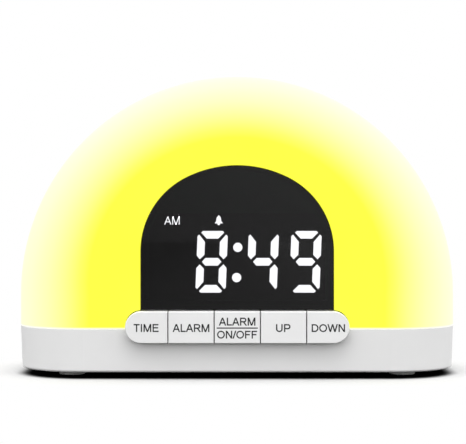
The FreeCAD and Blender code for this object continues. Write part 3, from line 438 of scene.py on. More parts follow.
# Sans capitals on a cap height of one. Bars run between two points, bows are parts of ellipses:
# middle, half width, half height, first and last angle. Each glyph starts with its advance.
STEM = 0.165
LOW, TOP = STEM / 2, 1 - STEM / 2
GLYPHS = {
    "A": (0.93, ((0.07, 0, 0.465, 1), (0.86, 0, 0.465, 1), (0.24, 0.34, 0.69, 0.34)), ()),
    "D": (1.0, ((0.17, 0, 0.17, 1), (0.17, TOP, 0.5, TOP), (0.17, LOW, 0.5, LOW)),
          ((0.5, 0.5, 0.37, 0.5 - LOW, -90, 90),)),
    "E": (0.93, ((0.17, 0, 0.17, 1), (0.17, TOP, 0.84, TOP), (0.17, 0.53, 0.8, 0.53),
                 (0.17, LOW, 0.87, LOW)), ()),
    "F": (0.85, ((0.17, 0, 0.17, 1), (0.17, TOP, 0.8, TOP), (0.17, 0.5, 0.71, 0.5)), ()),
    "I": (0.39, ((0.195, 0, 0.195, 1),), ()),
    "L": (0.78, ((0.17, 0, 0.17, 1), (0.17, LOW, 0.74, LOW)), ()),
    "M": (1.16, ((0.16, 0, 0.16, 1), (1.0, 0, 1.0, 1), (0.18, 1, 0.58, 0), (0.98, 1, 0.58, 0)),
          ()),
    "N": (1.0, ((0.17, 0, 0.17, 1), (0.83, 0, 0.83, 1), (0.17, 1, 0.83, 0)), ()),
    "O": (1.08, (), ((0.54, 0.5, 0.42, 0.51 - LOW, 0, 360),)),
    "P": (0.93, ((0.17, 0, 0.17, 1), (0.17, TOP, 0.57, TOP), (0.17, 0.43, 0.57, 0.43)),
          ((0.57, (TOP + 0.43) / 2, 0.24, (TOP - 0.43) / 2, -90, 90),)),
    "R": (1.0, ((0.17, 0, 0.17, 1), (0.17, TOP, 0.6, TOP), (0.17, 0.48, 0.6, 0.48),
                (0.52, 0.5, 0.9, 0)),
          ((0.6, (TOP + 0.48) / 2, 0.23, (TOP - 0.48) / 2, -90, 90),)),
    "T": (0.85, ((0.425, 0, 0.425, 1), (0.04, TOP, 0.81, TOP)), ()),
    "U": (1.0, ((0.17, 0.36, 0.17, 1), (0.83, 0.36, 0.83, 1)),
          ((0.5, 0.36, 0.33, 0.36 - LOW, 180, 360),)),
    "W": (1.32, ((0.08, 1, 0.37, 0), (0.66, 1, 0.37, 0), (0.66, 1, 0.95, 0), (1.24, 1, 0.95, 0)),
          ()),
    "/": (0.39, ((0.03, 0, 0.36, 1),), ()),
}


def bar_outline(bar, stem):
    """A straight stroke: steep ones are cut level at their ends, and flat ones upright."""
    start, end = np.array(bar[:2]), np.array(bar[2:])
    run = end - start
    if abs(run[1]) > abs(run[0]):
        side = np.array([stem / 2 * np.hypot(*run) / abs(run[1]), 0])
    else:
        side = np.array([0, stem / 2])
    corners = np.array([start - side, end - side, end + side, start + side])
    spin = np.cross(corners[1] - corners[0], corners[2] - corners[1])
    return corners if spin > 0 else corners[::-1]


def bow_rows(bow, stem):
    """A round stroke as two rows of points, half a stem inside and outside an ellipse."""
    across, up, half_width, half_height, first, last = bow
    angle = np.radians(np.linspace(first, last, max(13, round(abs(last - first) / 7.5))))
    rows = [np.stack([across + (half_width + grow) * np.cos(angle),
                      up + (half_height + grow) * np.sin(angle)], axis=-1)
            for grow in (-stem / 2, stem / 2)]
    return np.array(rows)


def letters(name, words, middle, width, height, front, back, body, stem=STEM):
    """Capitals as thin plates, fitted to a width and a height about a middle point.

    A straight stroke is a plate over its outline. A round stroke is a strip between two rows of
    an ellipse, carried round as a closed band of four sides.
    """
    points, faces, pen, count = [], [], 0.0, 0

    def add(rows, strip):
        nonlocal count
        columns = rows.shape[1]
        flat = rows.reshape(-1, 3)
        found = grid_faces(len(rows), columns, closed=not strip, first=count)
        if strip:
            ends = [[count + row * columns for row in range(4)],
                    [count + row * columns + columns - 1 for row in range(3, -1, -1)]]
            found += ends
        else:
            found += [[count + column for column in range(columns)][::-1],
                      [count + columns + column for column in range(columns)]]
        points.append(flat)
        faces.extend(found)
        count += len(flat)

    for letter in words:
        advance, bars, bows = GLYPHS[letter]
        for bar in bars:
            outline = bar_outline(bar, stem) + (pen, 0)
            add(np.array([upright(outline, depth) for depth in (1.0, 0.0)]), False)
        for bow in bows:
            inner, outer = bow_rows(bow, stem) + (pen, 0)
            loop = [(inner, 0.0), (outer, 0.0), (outer, 1.0), (inner, 1.0), (inner, 0.0)]
            add(np.array([upright(row, depth) for row, depth in loop]), True)
        pen += advance
    points = np.concatenate(points)
    low, high = points.min(axis=0), points.max(axis=0)
    unit = (points - low) / (high - low)
    placed = np.stack([middle[0] + (unit[:, 0] - 0.5) * width,
                       front + unit[:, 1] * (back - front),
                       middle[1] + (unit[:, 2] - 0.5) * height], axis=-1)
    piece = add_piece(name, placed, faces, body)
    close_poles(piece)
    work = bmesh.new()
    work.from_mesh(piece.data)
    bmesh.ops.recalc_face_normals(work, faces=work.faces)
    work.to_mesh(piece.data)
    work.free()
    return piece


# Legends: piece, words, body, middle across, middle up and width, in millimetres
LEGENDS = (
    ("time_legend", "TIME", "time_key", -27.75, 15.92, 7.6),
    ("alarm_legend", "ALARM", "alarm_set_key", -14.1, 15.92, 11.2),
    ("switch_legend_upper", "ALARM", "alarm_switch_key", -0.05, 17.87, 11.15),
    ("switch_legend_lower", "ON/OFF", "alarm_switch_key", -0.05, 13.9, 12.2),
    ("up_legend", "UP", "up_key", 14.0, 15.9, 4.4),
    ("down_legend", "DOWN", "down_key", 27.75, 15.9, 10.2),
)
RULE = (12.5, 0.36, 15.9)

# Bell sign, from its top to its foot: height and half width in millimetres
BELL = ((1.54, 0.0), (1.48, 0.16), (1.28, 0.2), (1.14, 0.44), (0.85, 0.62), (0.5, 0.7),
        (0.0, 0.74), (-0.35, 0.84), (-0.6, 1.05), (-0.78, 1.2), (-0.94, 1.16), (-0.98, 0.38),
        (-1.2, 0.4), (-1.42, 0.28), (-1.5, 0.0))
BELL_PLACE = (-5.7, 48.72)
SIGN_PLACE = (-20.17, 48.63)
SIGN_WIDTH = 4.75


def make_legends(form, material):
    face = KEY_LOW.y
    for name, words, body, across, up, width in LEGENDS:
        piece = letters(name, words, (across * MM, up * MM), width * MM, form.letter_height,
                        face - form.print_relief, face + INK_SINK, body)
        piece.data.materials.append(material)
    width, thick, up = (value * MM for value in RULE)
    outline = [(-width / 2, up - thick / 2), (width / 2, up - thick / 2),
               (width / 2, up + thick / 2), (-width / 2, up + thick / 2)]
    rule = flat_plate("switch_legend_rule", outline, face - form.print_relief, face + INK_SINK,
                      "alarm_switch_key")
    rule.data.materials.append(material)


def make_signs(form, material):
    """The two small lit signs above the digits, as deep as the digits' segments."""
    front, back = DIGIT_LOW.y, DIGIT_HIGH.y
    sign = letters("morning_sign", "AM", np.array(SIGN_PLACE) * MM, SIGN_WIDTH * MM,
                   form.sign_height, front, back, CASE, stem=0.11)
    up, half = np.array(BELL).T
    left = np.stack([-half, up], axis=-1)
    right = np.stack([half[1:-1], up[1:-1]], axis=-1)[::-1]
    outline = (np.concatenate([left, right]) + np.array(BELL_PLACE)) * MM
    bell = flat_plate("alarm_sign", outline, front, back, CASE)
    for piece in (sign, bell):
        piece.data.materials.append(material)


# Materials


def add_node(tree, kind, inputs=None, **settings):
    """Add a shader node. Inputs, by name or number, are values to set, sockets to link, or
    nodes, whose first output is linked."""
    made = tree.nodes.new("ShaderNode" + kind)
    for name, value in settings.items():
        setattr(made, name, value)
    for place, value in (inputs or {}).items():
        if isinstance(value, bpy.types.Node):
            value = value.outputs[0]
        if isinstance(value, bpy.types.NodeSocket):
            tree.links.new(value, made.inputs[place])
        else:
            made.inputs[place].default_value = value
    return made


def empty_tree(owner):
    """The node tree of a material or a world, emptied."""
    owner.use_nodes = True
    owner.node_tree.nodes.clear()
    return owner.node_tree


def start_material(name, **shader_inputs):
    """A material with a Principled shader, and its Object coordinates in millimetres."""
    material = bpy.data.materials.new(name)
    tree = empty_tree(material)
    sockets = {key.replace("_", " "): value for key, value in shader_inputs.items()}
    shader = add_node(tree, "BsdfPrincipled", sockets)
    add_node(tree, "OutputMaterial", {"Surface": shader})
    place = add_node(tree, "TexCoord").outputs["Object"]
    scaled = add_node(tree, "VectorMath", {0: place, 1: (1 / MM, 1 / MM, 1 / MM)},
                      operation="MULTIPLY").outputs[0]
    return material, tree, shader, scaled


def grain(tree, shader, place, spacing, relief, spread=0.0, roughness=None):
    """Fine moulded or ground texture: noise of a spacing and a relief in millimetres.

    With a spread, the same noise moves the roughness up and down by that much.
    """
    noise = add_node(tree, "TexNoise", {"Vector": place, "Scale": 1 / spacing, "Detail": 2.0,
                                        "Roughness": 0.55})
    bump = add_node(tree, "Bump", {"Height": noise, "Strength": 1.0, "Distance": relief * MM})
    tree.links.new(bump.outputs[0], shader.inputs["Normal"])
    if spread:
        level = add_node(tree, "MapRange", {"Value": noise, "From Min": 0.3, "From Max": 0.7,
                                            "To Min": roughness - spread,
                                            "To Max": roughness + spread})
        tree.links.new(level.outputs[0], shader.inputs["Roughness"])


def mottle(tree, place, first, second, patch, stretch=(1, 1, 1)):
    """A colour that drifts between two close tones over patches of a size in millimetres."""
    drawn = add_node(tree, "VectorMath", {0: place, 1: stretch}, operation="MULTIPLY").outputs[0]
    noise = add_node(tree, "TexNoise", {"Vector": drawn, "Scale": 1 / patch, "Detail": 3.0,
                                        "Roughness": 0.5})
    level = add_node(tree, "MapRange", {"Value": noise, "From Min": 0.35, "From Max": 0.65})
    return add_node(tree, "Mix", {0: level, 6: first, 7: second}, data_type="RGBA").outputs[2]


def tint(tree, shader, place, tone, share, patch, sockets=("Base Color",)):
    """Link a colour that drifts between a tone and a share of it to the shader."""
    tone = np.array(tone)
    base = mottle(tree, place, tuple(tone), (*(tone[:3] * share), 1), patch)
    for socket in sockets:
        tree.links.new(base, shader.inputs[socket])


# Finishes that need only a tone, a texture and a gloss. Each row: two tones, patch, roughness,
# grain spacing, grain relief (millimetres), then metallic.
FINISHES = {
    # Zinc-plated steel screws, thread rolled: bright grey metal, softly streaked
    "screw_steel": ("zinc_plated_steel", "#A9ACB0", "#8C9094", 3.0, 0.34, 0.4, 0.01, 1.0),
    # Closed-cell foam gasket, die cut: dead black, dull, with fine pores
    "gasket_foam": ("black_foam_die_cut", "#141414", "#1D1D1D", 1.5, 0.9, 0.35, 0.06, 0.0),
    # Black ABS, moulded with a matt texture: hides stray light round the digits
    "black_plastic": ("black_abs_matt", "#101011", "#151516", 6.0, 0.62, 0.25, 0.015, 0.0),
    # Clear-filled reflector cavities of unlit segments: barely lighter than the block
    "unlit_segment": ("unlit_segment_resin", "#181819", "#1C1C1D", 2.0, 0.35, 0.3, 0.004, 0.0),
    # White ABS, moulded against polished steel: even and glossy
    "white_plastic": ("white_abs_gloss", "#EDEDEA", "#E6E6E2", 12.0, 0.3, 0.5, 0.004, 0.0),
    # Epoxy moulding compound of chips and switches: charcoal, slightly granular
    "chip_case": ("black_epoxy_moulded", "#1B1B1C", "#242425", 1.2, 0.55, 0.15, 0.008, 0.0),
    # Drawn aluminium cans: pale grey metal with drawing streaks
    "can_metal": ("drawn_aluminium", "#C9CBCD", "#B4B7BA", 2.0, 0.3, 0.3, 0.006, 1.0),
    # Nickel-plated spring steel leaves: bright and slightly warm
    "contact_plate": ("nickel_spring_steel", "#C6C2B8", "#B1ADA3", 2.5, 0.25, 0.3, 0.005, 1.0),
    # Black electro-coat on a pressed steel basket: soft gloss over fine orange peel
    "speaker_steel": ("black_coated_steel", "#17181A", "#1F2022", 5.0, 0.42, 0.6, 0.01, 0.0),
    # Pulp paper cone: dark grey with short fibres
    "speaker_paper": ("pulp_paper_cone", "#2B2926", "#3A3733", 0.8, 0.92, 0.2, 0.03, 0.0),
    # Sintered ferrite, ground: dark grey, dry
    "magnet": ("sintered_ferrite", "#3A3B3E", "#45464A", 2.0, 0.6, 0.25, 0.01, 0.0),
    # Nickel-plated shell of the power inlet, folded: clean bright metal
    "inlet_metal": ("nickel_plated_shell", "#CFCDC8", "#BDBBB6", 3.0, 0.22, 0.4, 0.003, 1.0),
    # Glass-fibre board under green solder mask: weave shows faintly through the lacquer
    "circuit_board": ("green_solder_mask", "#1C5B36", "#174C2D", 2.2, 0.32, 0.7, 0.01, 0.0),
    # Aluminium-core board under white solder mask: chalky white
    "white_board": ("white_solder_mask", "#F0F0EC", "#E6E6E0", 3.0, 0.4, 0.7, 0.008, 0.0),
}


def make_finish(name, tone, second, patch, roughness, spacing, relief, metallic):
    material, tree, shader, place = start_material(name, Metallic=metallic, Roughness=roughness)
    stretch = (1, 1, 6) if metallic else (1, 1, 1)
    base = mottle(tree, place, linear(tone), linear(second), patch, stretch)
    tree.links.new(base, shader.inputs["Base Color"])
    grain(tree, shader, place, spacing, relief, 0.06, roughness)
    return material


# Painted glow of the cover: the lift of its pattern, the width of the painted pale rim, the ramp
# from one colour to the other, how far the cover's own colour is darkened under the painted glow,
# and the painted highlight line over the seam
GLOW_LIFT = 0.16
GLOW_RIM = 24
GLOW_STOPS = ((0.0, 0.0), (0.13, 0.12), (0.3, 0.35), (0.55, 0.66), (0.8, 0.9), (1.0, 1.0))
PAINTED_GLOW_BASE_DARKENING = 0.84
PAINTED_SEAM_HIGHLIGHT = (0.1, 0.55)
PAINTED_SEAM_HIGHLIGHT_STRENGTH = 0.75
PAINTED_SEAM_HIGHLIGHT_TONE = (1, 1, 0.93, 1)


def dome_material(colours, light):
    """Milky polypropylene, injection moulded, with a painted glow that stands in for the lamp
    board.

    The glow is emission painted on the cover by position, not light from the lamps inside: one
    strong yellow in the middle, and a painted pale rim that goes over to cream towards the rounded
    rim by distance from the middle. The pattern is lifted by a share of its distance from the rim,
    as the lamps sit a little above the dome's centre. A thin pale line just above the seam is a
    painted highlight in the same emission, and the cover's own colour is darkened under the glow.
    """
    outer = (DOME_HIGH.x - DOME_LOW.x) / 2 / MM
    material, tree, shader, place = start_material("milky_polypropylene_painted_glow", Roughness=0.5,
                                                   IOR=1.49, Specular_IOR_Level=0.2)
    # Painted glow: emission that goes from yellow to a painted pale rim by distance from the
    # middle, lifted towards the top
    axes = add_node(tree, "SeparateXYZ", {0: place})
    above = add_node(tree, "Math", {0: axes.outputs[2], 1: DOME_HIGH.z / MM - outer},
                     operation="SUBTRACT")
    above = add_node(tree, "Math", {0: above, 1: 0.0}, operation="MAXIMUM")
    flat = add_node(tree, "CombineXYZ", {0: axes, 2: above})
    reach = add_node(tree, "VectorMath", {0: flat}, operation="LENGTH")
    upward = add_node(tree, "Math", {0: above, 1: reach.outputs["Value"]}, operation="DIVIDE")
    inward = add_node(tree, "Math", {0: outer, 1: reach.outputs["Value"]}, operation="SUBTRACT")
    lift = add_node(tree, "Math", {0: inward, 1: upward}, operation="MULTIPLY")
    level = add_node(tree, "Math", {0: lift, 1: -GLOW_LIFT, 2: reach.outputs["Value"]},
                     operation="MULTIPLY_ADD")
    share = add_node(tree, "MapRange", {"Value": level, "From Min": outer - GLOW_RIM,
                                        "From Max": outer})
    ramp = add_node(tree, "ValToRGB", {0: share})
    glow, edge = np.array(colours.glow), np.array(colours.glow_edge)
    bar = ramp.color_ramp
    for position, _ in GLOW_STOPS[1:-1]:
        bar.elements.new(position)
    for element, (position, mix) in zip(bar.elements, GLOW_STOPS):
        element.position = position
        element.color = glow + (edge - glow) * mix
    cloud = add_node(tree, "TexNoise", {"Vector": place, "Scale": 1 / 30, "Detail": 2.0})
    haze = add_node(tree, "MapRange", {"Value": cloud, "From Min": 0.3, "From Max": 0.7,
                                       "To Min": 0.0, "To Max": 0.012})
    body = add_node(tree, "Mix", {0: haze, 6: ramp, 7: tuple(edge)}, data_type="RGBA")
    seam = DOME_LOW.z / MM
    # Painted highlight: a thin pale line of emission just above the seam
    line = add_node(tree, "MapRange", {"Value": axes.outputs[2], "From Min": seam + PAINTED_SEAM_HIGHLIGHT[0],
                                       "From Max": seam + PAINTED_SEAM_HIGHLIGHT[1], "To Min": PAINTED_SEAM_HIGHLIGHT_STRENGTH,
                                       "To Max": 0.0}, interpolation_type="SMOOTHSTEP")
    lit = add_node(tree, "Mix", {0: line, 6: body.outputs[2], 7: PAINTED_SEAM_HIGHLIGHT_TONE}, data_type="RGBA")
    # The cover's own colour is darkened, so that the painted glow outweighs the lamps
    dim = add_node(tree, "Mix", {0: PAINTED_GLOW_BASE_DARKENING, 6: lit.outputs[2], 7: (0, 0, 0, 1)},
                   data_type="RGBA")
    tree.links.new(dim.outputs[2], shader.inputs["Base Color"])
    tree.links.new(lit.outputs[2], shader.inputs["Emission Color"])
    shader.inputs["Emission Strength"].default_value = light.dome
    grain(tree, shader, place, 0.5, 0.003)
    return material


def shell_material(colours):
    """White ABS, moulded against a fine spark-eroded tool: a matt skin that evens the light."""
    material, tree, shader, place = start_material("white_abs_spark_eroded", IOR=1.5)
    tint(tree, shader, place, colours.shell, 0.975, 18)
    grain(tree, shader, place, 0.45, 0.006, 0.05, 0.5)
    return material


def key_material(colours):
    """White ABS, moulded against a blasted tool: satin, smoother than the housing."""
    material, tree, shader, place = start_material("white_abs_satin", IOR=1.5)
    tint(tree, shader, place, colours.keys, 0.98, 9)
    grain(tree, shader, place, 0.5, 0.003, 0.04, 0.4)
    return material


def ink_material(colours):
    """Pad-printed ink: dark, thin and slightly uneven, a little duller than the keys."""
    material, tree, shader, place = start_material("pad_printed_ink", IOR=1.5)
    tint(tree, shader, place, colours.ink, 1.35, 0.8)
    grain(tree, shader, place, 0.3, 0.002, 0.08, 0.6)
    return material


def lens_material(colours):
    """Smoked acrylic, cast and polished: a dark mirror that lets lit digits through.

    The IOR is that of acrylic with an anti-glare coat, which halves its reflection.
    """
    material, tree, shader, place = start_material("smoked_acrylic_polished", IOR=1.33,
                                                   Transmission_Weight=1.0)
    tint(tree, shader, place, colours.smoke, 0.96, 25)
    noise = add_node(tree, "TexNoise", {"Vector": place, "Scale": 1 / 6})
    polish = add_node(tree, "MapRange", {"Value": noise, "To Min": 0.0, "To Max": 0.03})
    tree.links.new(polish.outputs[0], shader.inputs["Roughness"])
    return material


def border_material():
    """Screen-printed black on the window's back: dense, seen through the polished face."""
    material, tree, shader, place = start_material("black_screen_print", Roughness=0.5)
    base = mottle(tree, place, linear("#0E0E0F"), linear("#121213"), 1.2)
    tree.links.new(base, shader.inputs["Base Color"])
    grain(tree, shader, place, 0.4, 0.002)
    return material


def digit_material(colours, light):
    """Diffusing resin over a lit segment: flat bright white, with a trace of unevenness."""
    material, tree, shader, place = start_material("lit_segment_resin", Roughness=0.5,
                                                   Emission_Strength=light.display)
    tint(tree, shader, place, colours.digits, 0.94, 1.5, ("Base Color", "Emission Color"))
    return material


def rubber_material(colours):
    """Moulded rubber: mid grey and dull, with a faint pebbled skin."""
    material, tree, shader, place = start_material("grey_rubber_moulded", IOR=1.52)
    tint(tree, shader, place, colours.rubber, 0.8, 2.0)
    grain(tree, shader, place, 0.4, 0.02, 0.06, 0.8)
    return material


def cell_material():
    """Printed steel sleeve of a dry cell: a plain grey wrap with a bright band at each end."""
    material, tree, shader, place = start_material("sleeved_steel_cell", Roughness=0.3)
    axes = add_node(tree, "SeparateXYZ", {0: place})
    end = add_node(tree, "Math", {0: axes}, operation="ABSOLUTE")
    bare = add_node(tree, "Math", {0: end, 1: SLEEVE_HALF}, operation="GREATER_THAN")
    wrap = mottle(tree, place, linear("#4B5158"), linear("#434950"), 4)
    base = add_node(tree, "Mix", {0: bare, 6: wrap, 7: linear("#C8C7C2")}, data_type="RGBA")
    tree.links.new(base.outputs[2], shader.inputs["Base Color"])
    tree.links.new(bare.outputs[0], shader.inputs["Metallic"])
    grain(tree, shader, place, 0.6, 0.003)
    return material


def lamp_material():
    """Lamp package: white ceramic with a lit yellow phosphor, its tone drifting over small
    patches.
    """
    material, tree, shader, place = start_material("phosphor_lamp_package", Roughness=0.45,
                                                   Emission_Strength=3.0)
    base = mottle(tree, place, linear("#FFF2A0"), linear("#FFE766"), 2)
    tree.links.new(base, shader.inputs["Base Color"])
    tree.links.new(base, shader.inputs["Emission Color"])
    return material


def give(material, *nodes):
    """Put a material on frame nodes or new pieces."""
    for thing in nodes:
        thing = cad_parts[thing] if isinstance(thing, str) else thing
        if not thing.material_slots:
            thing.data.materials.append(material)
        for slot in thing.material_slots:
            slot.material = material


def nodes_of(slot):
    """Names of the frame's nodes that came with a material slot."""
    found = [name for name, given in SLOTS.items() if given == slot]
    if not found:
        raise RuntimeError("no node came with the material slot " + slot)
    return found


# Operators


class CLOCK_OT_dome(bpy.types.Operator):
    """Make the milky lamp cover"""

    bl_idname = "clock.dome"
    bl_label = "Lamp cover"

    def execute(self, context):
        scene = context.scene
        give(dome_material(scene.clock_colours, scene.clock_light), make_dome(scene.clock_form))
        return {"FINISHED"}


class CLOCK_OT_housing(bpy.types.Operator):
    """Finish the base housing and the battery door, and make the rubber feet"""

    bl_idname = "clock.housing"
    bl_label = "Base housing"

    def execute(self, context):
        scene = context.scene
        give(shell_material(scene.clock_colours), *nodes_of("base_shell"))
        give(rubber_material(scene.clock_colours), make_feet(scene.clock_form))
        return {"FINISHED"}


class CLOCK_OT_keys(bpy.types.Operator):
    """Finish the five keys and print their legends"""

    bl_idname = "clock.keys"
    bl_label = "Keys"

    def execute(self, context):
        scene = context.scene
        give(key_material(scene.clock_colours), *nodes_of("key_cap"))
        make_legends(scene.clock_form, ink_material(scene.clock_colours))
        return {"FINISHED"}


class CLOCK_OT_display(bpy.types.Operator):
    """Make the smoked window and light the digits and the signs behind it"""

    bl_idname = "clock.display"
    bl_label = "Display"

    def execute(self, context):
        scene = context.scene
        give(lens_material(scene.clock_colours), make_lens(scene.clock_form))
        give(border_material(), make_window_print(scene.clock_form))
        lit = digit_material(scene.clock_colours, scene.clock_light)
        give(lit, *nodes_of("lit_segment"))
        make_signs(scene.clock_form, lit)
        return {"FINISHED"}


class CLOCK_OT_workings(bpy.types.Operator):
    """Finish the cells, the boards and everything else inside"""

    bl_idname = "clock.workings"
    bl_label = "Workings"

    def execute(self, context):
        for slot, finish in FINISHES.items():
            give(make_finish(*finish), *nodes_of(slot))
        give(cell_material(), *nodes_of("cell_can"))
        give(lamp_material(), *nodes_of("lamp_package"))
        return {"FINISHED"}


def area_lamp(name, place, target, size, power):
    """A rectangular soft lamp that faces a point."""
    data = bpy.data.lights.new(name, "AREA")
    data.shape = "RECTANGLE"
    data.size, data.size_y = size
    data.energy = power
    lamp = bpy.data.objects.new(name, data)
    lamp.location = place
    lamp.rotation_euler = (Vector(target) - Vector(place)).to_track_quat("-Z", "Y").to_euler()
    bpy.context.scene.collection.objects.link(lamp)


def seen_directly(tree):
    """One for rays from the camera, a mirror or a glass, and nothing for scattered light."""
    path = add_node(tree, "LightPath")
    both = add_node(tree, "Math", {0: path.outputs["Is Camera Ray"],
                                   1: path.outputs["Is Glossy Ray"]}, operation="ADD")
    return add_node(tree, "Math", {0: both, 1: path.outputs["Is Transmission Ray"]},
                    operation="ADD", use_clamp=True).outputs[0]


# Table: corner radius of the clock's footprint, and how far from its edge the painted contact
# shadow under the clock and the fade to white begin and end, in millimetres
FLOOR_CORNER = 22.0
FLOOR_PAINTED_SHADOW = (-3.5, 2.2)
FLOOR_FADE = (1, 22)
# Across the table, where its mirror image is shaded and where it is white
FLOOR_MIRROR = (-80, 120)


def floor_material():
    """Pale matt table top. Past the clock's shadow it goes over into the white background.

    The distance from the clock's footprint, a rounded rectangle, sets how much of each shows:
    the length of what remains of |x| and |y| outside a smaller rectangle, less its corner radius.
    Under the footprint and just past it the table is painted near black, a painted contact shadow.
    """
    material = bpy.data.materials.new("pale_matt_table")
    tree = empty_tree(material)
    half = (DOME_HIGH.x - DOME_LOW.x) / 2 / MM - FLOOR_CORNER
    depth = (DOME_HIGH.y - DOME_LOW.y) / 2 / MM - FLOOR_CORNER
    middle = (DOME_HIGH.y + DOME_LOW.y) / 2 / MM
    place = add_node(tree, "TexCoord").outputs["Object"]
    scaled = add_node(tree, "VectorMath", {0: place, 1: (1 / MM, 1 / MM, 0)}, operation="MULTIPLY")
    centred = add_node(tree, "VectorMath", {0: scaled, 1: (0, middle, 0)}, operation="SUBTRACT")
    mirrored = add_node(tree, "VectorMath", {0: centred}, operation="ABSOLUTE")
    beyond = add_node(tree, "VectorMath", {0: mirrored, 1: (half, depth, 0)}, operation="SUBTRACT")
    outside = add_node(tree, "VectorMath", {0: beyond, 1: (0, 0, 0)}, operation="MAXIMUM")
    away = add_node(tree, "VectorMath", {0: outside}, operation="LENGTH")
    far = add_node(tree, "MapRange", {"Value": away.outputs["Value"],
                                      "From Min": FLOOR_CORNER + FLOOR_FADE[0],
                                      "From Max": FLOOR_CORNER + FLOOR_FADE[1]},
                   interpolation_type="SMOOTHSTEP")
    # Painted contact shadow: the table is painted near black under the clock's footprint
    painted_shadow = add_node(tree, "MapRange", {"Value": away.outputs["Value"],
                                        "From Min": FLOOR_CORNER + FLOOR_PAINTED_SHADOW[0],
                                        "From Max": FLOOR_CORNER + FLOOR_PAINTED_SHADOW[1]},
                     interpolation_type="SMOOTHSTEP")
    tone = add_node(tree, "Mix", {0: painted_shadow, 6: linear("#101010"), 7: linear("#C4C4C4")},
                    data_type="RGBA")
    table = add_node(tree, "BsdfDiffuse", {"Color": tone.outputs[2]})
    axes = add_node(tree, "SeparateXYZ", {0: scaled})
    shade = add_node(tree, "MapRange", {"Value": axes, "From Min": FLOOR_MIRROR[0],
                                        "From Max": FLOOR_MIRROR[1], "To Min": 0.5})
    mirror = add_node(tree, "LightPath").outputs["Is Glossy Ray"]
    strength = add_node(tree, "Mix", {0: mirror, 2: 1.0, 3: shade}, data_type="FLOAT")
    white = add_node(tree, "Emission", {"Strength": strength})
    looks = add_node(tree, "MixShader", {0: far, 1: table, 2: white})
    bounce = add_node(tree, "BsdfDiffuse", {"Color": linear("#303030")})
    shader = add_node(tree, "MixShader", {0: seen_directly(tree), 1: bounce, 2: looks})
    add_node(tree, "OutputMaterial", {"Surface": shader})
    return material


# Towards the bright side of the room, and its shade at both ends of the slope
BRIGHT_SIDE = (2.2, 0.0, 3.4)
WALL_SLOPE = (-0.35, 0.2)
WALL_SHADE = (0.45, 1.0)


def studio_world(strength):
    """White to the camera, a softer even light on the object, and a shaded wall to mirrors.

    Mirrors see a white wall that is brighter towards the upper right, as a large soft window
    beside the camera makes it, so polished faces are not one flat tone.
    """
    world = bpy.data.worlds.new("studio")
    tree = empty_tree(world)
    path = add_node(tree, "LightPath")
    direction = add_node(tree, "TexCoord").outputs["Generated"]
    slope = add_node(tree, "VectorMath", {0: direction, 1: BRIGHT_SIDE}, operation="DOT_PRODUCT")
    wall = add_node(tree, "MapRange", {"Value": slope.outputs["Value"], "From Min": WALL_SLOPE[0],
                                       "From Max": WALL_SLOPE[1], "To Min": WALL_SHADE[0],
                                       "To Max": WALL_SHADE[1]})
    soft = add_node(tree, "Background", {"Strength": strength})
    white = add_node(tree, "Background", {"Strength": 1.0})
    shaded = add_node(tree, "Background", {"Strength": wall})
    for background in (soft, white, shaded):
        background.inputs["Color"].default_value = (1, 1, 1, 1)
    clear = add_node(tree, "Math", {0: path.outputs["Is Camera Ray"],
                                    1: path.outputs["Is Transmission Ray"]}, operation="ADD",
                     use_clamp=True)
    lit = add_node(tree, "MixShader", {0: path.outputs["Is Glossy Ray"], 1: soft, 2: shaded})
    shader = add_node(tree, "MixShader", {0: clear, 1: lit, 2: white})
    add_node(tree, "OutputWorld", {"Surface": shader})
    return world


# Camera: level, straight on, a little left of the middle
CAMERA_PLACE = (-1.3, -466.5, 48.2)
CAMERA_LENS = 110.63
SENSOR_WIDTH = 36.0
# Softbox: place, what it faces and its two sides, in metres
SOFTBOX_PLACE = (0, -0.3, 0.8)
SOFTBOX_TARGET = (0, 0, 0.04)
SOFTBOX_SIZE = (0.7, 0.5)
# Half the side of the table, in metres
FLOOR_HALF = 3.0


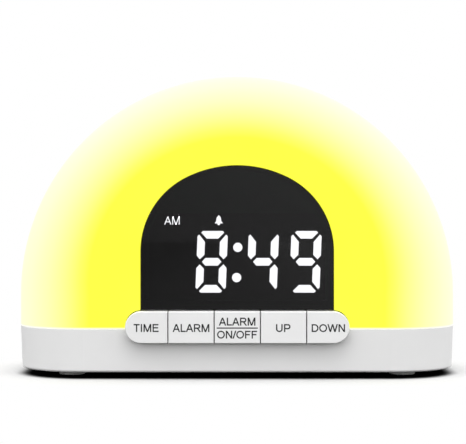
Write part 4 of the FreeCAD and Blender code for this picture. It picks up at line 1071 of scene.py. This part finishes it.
class CLOCK_OT_stage(bpy.types.Operator):
    """Set the floor, the lamps, the studio light and the camera"""

    bl_idname = "clock.stage"
    bl_label = "Stage"

    def execute(self, context):
        scene = context.scene
        lens = bpy.data.cameras.new("camera")
        lens.lens, lens.sensor_width = CAMERA_LENS, SENSOR_WIDTH
        lens.clip_start, lens.clip_end = 0.01, 20
        camera = bpy.data.objects.new("camera", lens)
        camera.location = [value * MM for value in CAMERA_PLACE]
        camera.rotation_euler = (math.pi / 2, 0, 0)
        scene.collection.objects.link(camera)
        scene.camera = camera
        corners = [(-FLOOR_HALF, -FLOOR_HALF, 0), (FLOOR_HALF, -FLOOR_HALF, 0),
                   (FLOOR_HALF, FLOOR_HALF, 0), (-FLOOR_HALF, FLOOR_HALF, 0)]
        mesh = bpy.data.meshes.new("floor")
        mesh.from_pydata(corners, [], [(0, 1, 2, 3)])
        floor = bpy.data.objects.new("floor", mesh)
        scene.collection.objects.link(floor)
        give(floor_material(), floor)
        area_lamp("softbox", SOFTBOX_PLACE, SOFTBOX_TARGET, SOFTBOX_SIZE,
                  scene.clock_light.softbox)
        scene.world = studio_world(scene.clock_light.studio)
        scene.view_settings.view_transform = "Standard"
        return {"FINISHED"}


class CLOCK_PT_panel(bpy.types.Panel):
    """Everything that makes the clock, in order"""

    bl_label = "Sunrise clock"
    bl_space_type = "VIEW_3D"
    bl_region_type = "UI"
    bl_category = "Clock"

    def draw(self, context):
        for operator in OPERATORS:
            self.layout.operator(operator.bl_idname)
        for group in (context.scene.clock_form, context.scene.clock_colours,
                      context.scene.clock_light):
            for name in group.bl_rna.properties.keys():
                if name not in ("rna_type", "name"):
                    self.layout.prop(group, name)


GROUPS = {"clock_form": ClockForm, "clock_colours": ClockColours, "clock_light": ClockLight}
OPERATORS = (CLOCK_OT_stage, CLOCK_OT_dome, CLOCK_OT_housing, CLOCK_OT_keys, CLOCK_OT_display,
             CLOCK_OT_workings)


def register():
    for entry in (*GROUPS.values(), *OPERATORS, CLOCK_PT_panel):
        bpy.utils.register_class(entry)
    for name, group in GROUPS.items():
        setattr(bpy.types.Scene, name, PointerProperty(type=group))


def unregister():
    for name in GROUPS:
        delattr(bpy.types.Scene, name)
    for entry in (CLOCK_PT_panel, *OPERATORS, *GROUPS.values()):
        bpy.utils.unregister_class(entry)


def main():
    register()
    for operator in OPERATORS:
        group, name = operator.bl_idname.split(".")
        getattr(getattr(bpy.ops, group), name)()


if __name__ == "__main__":
    main()
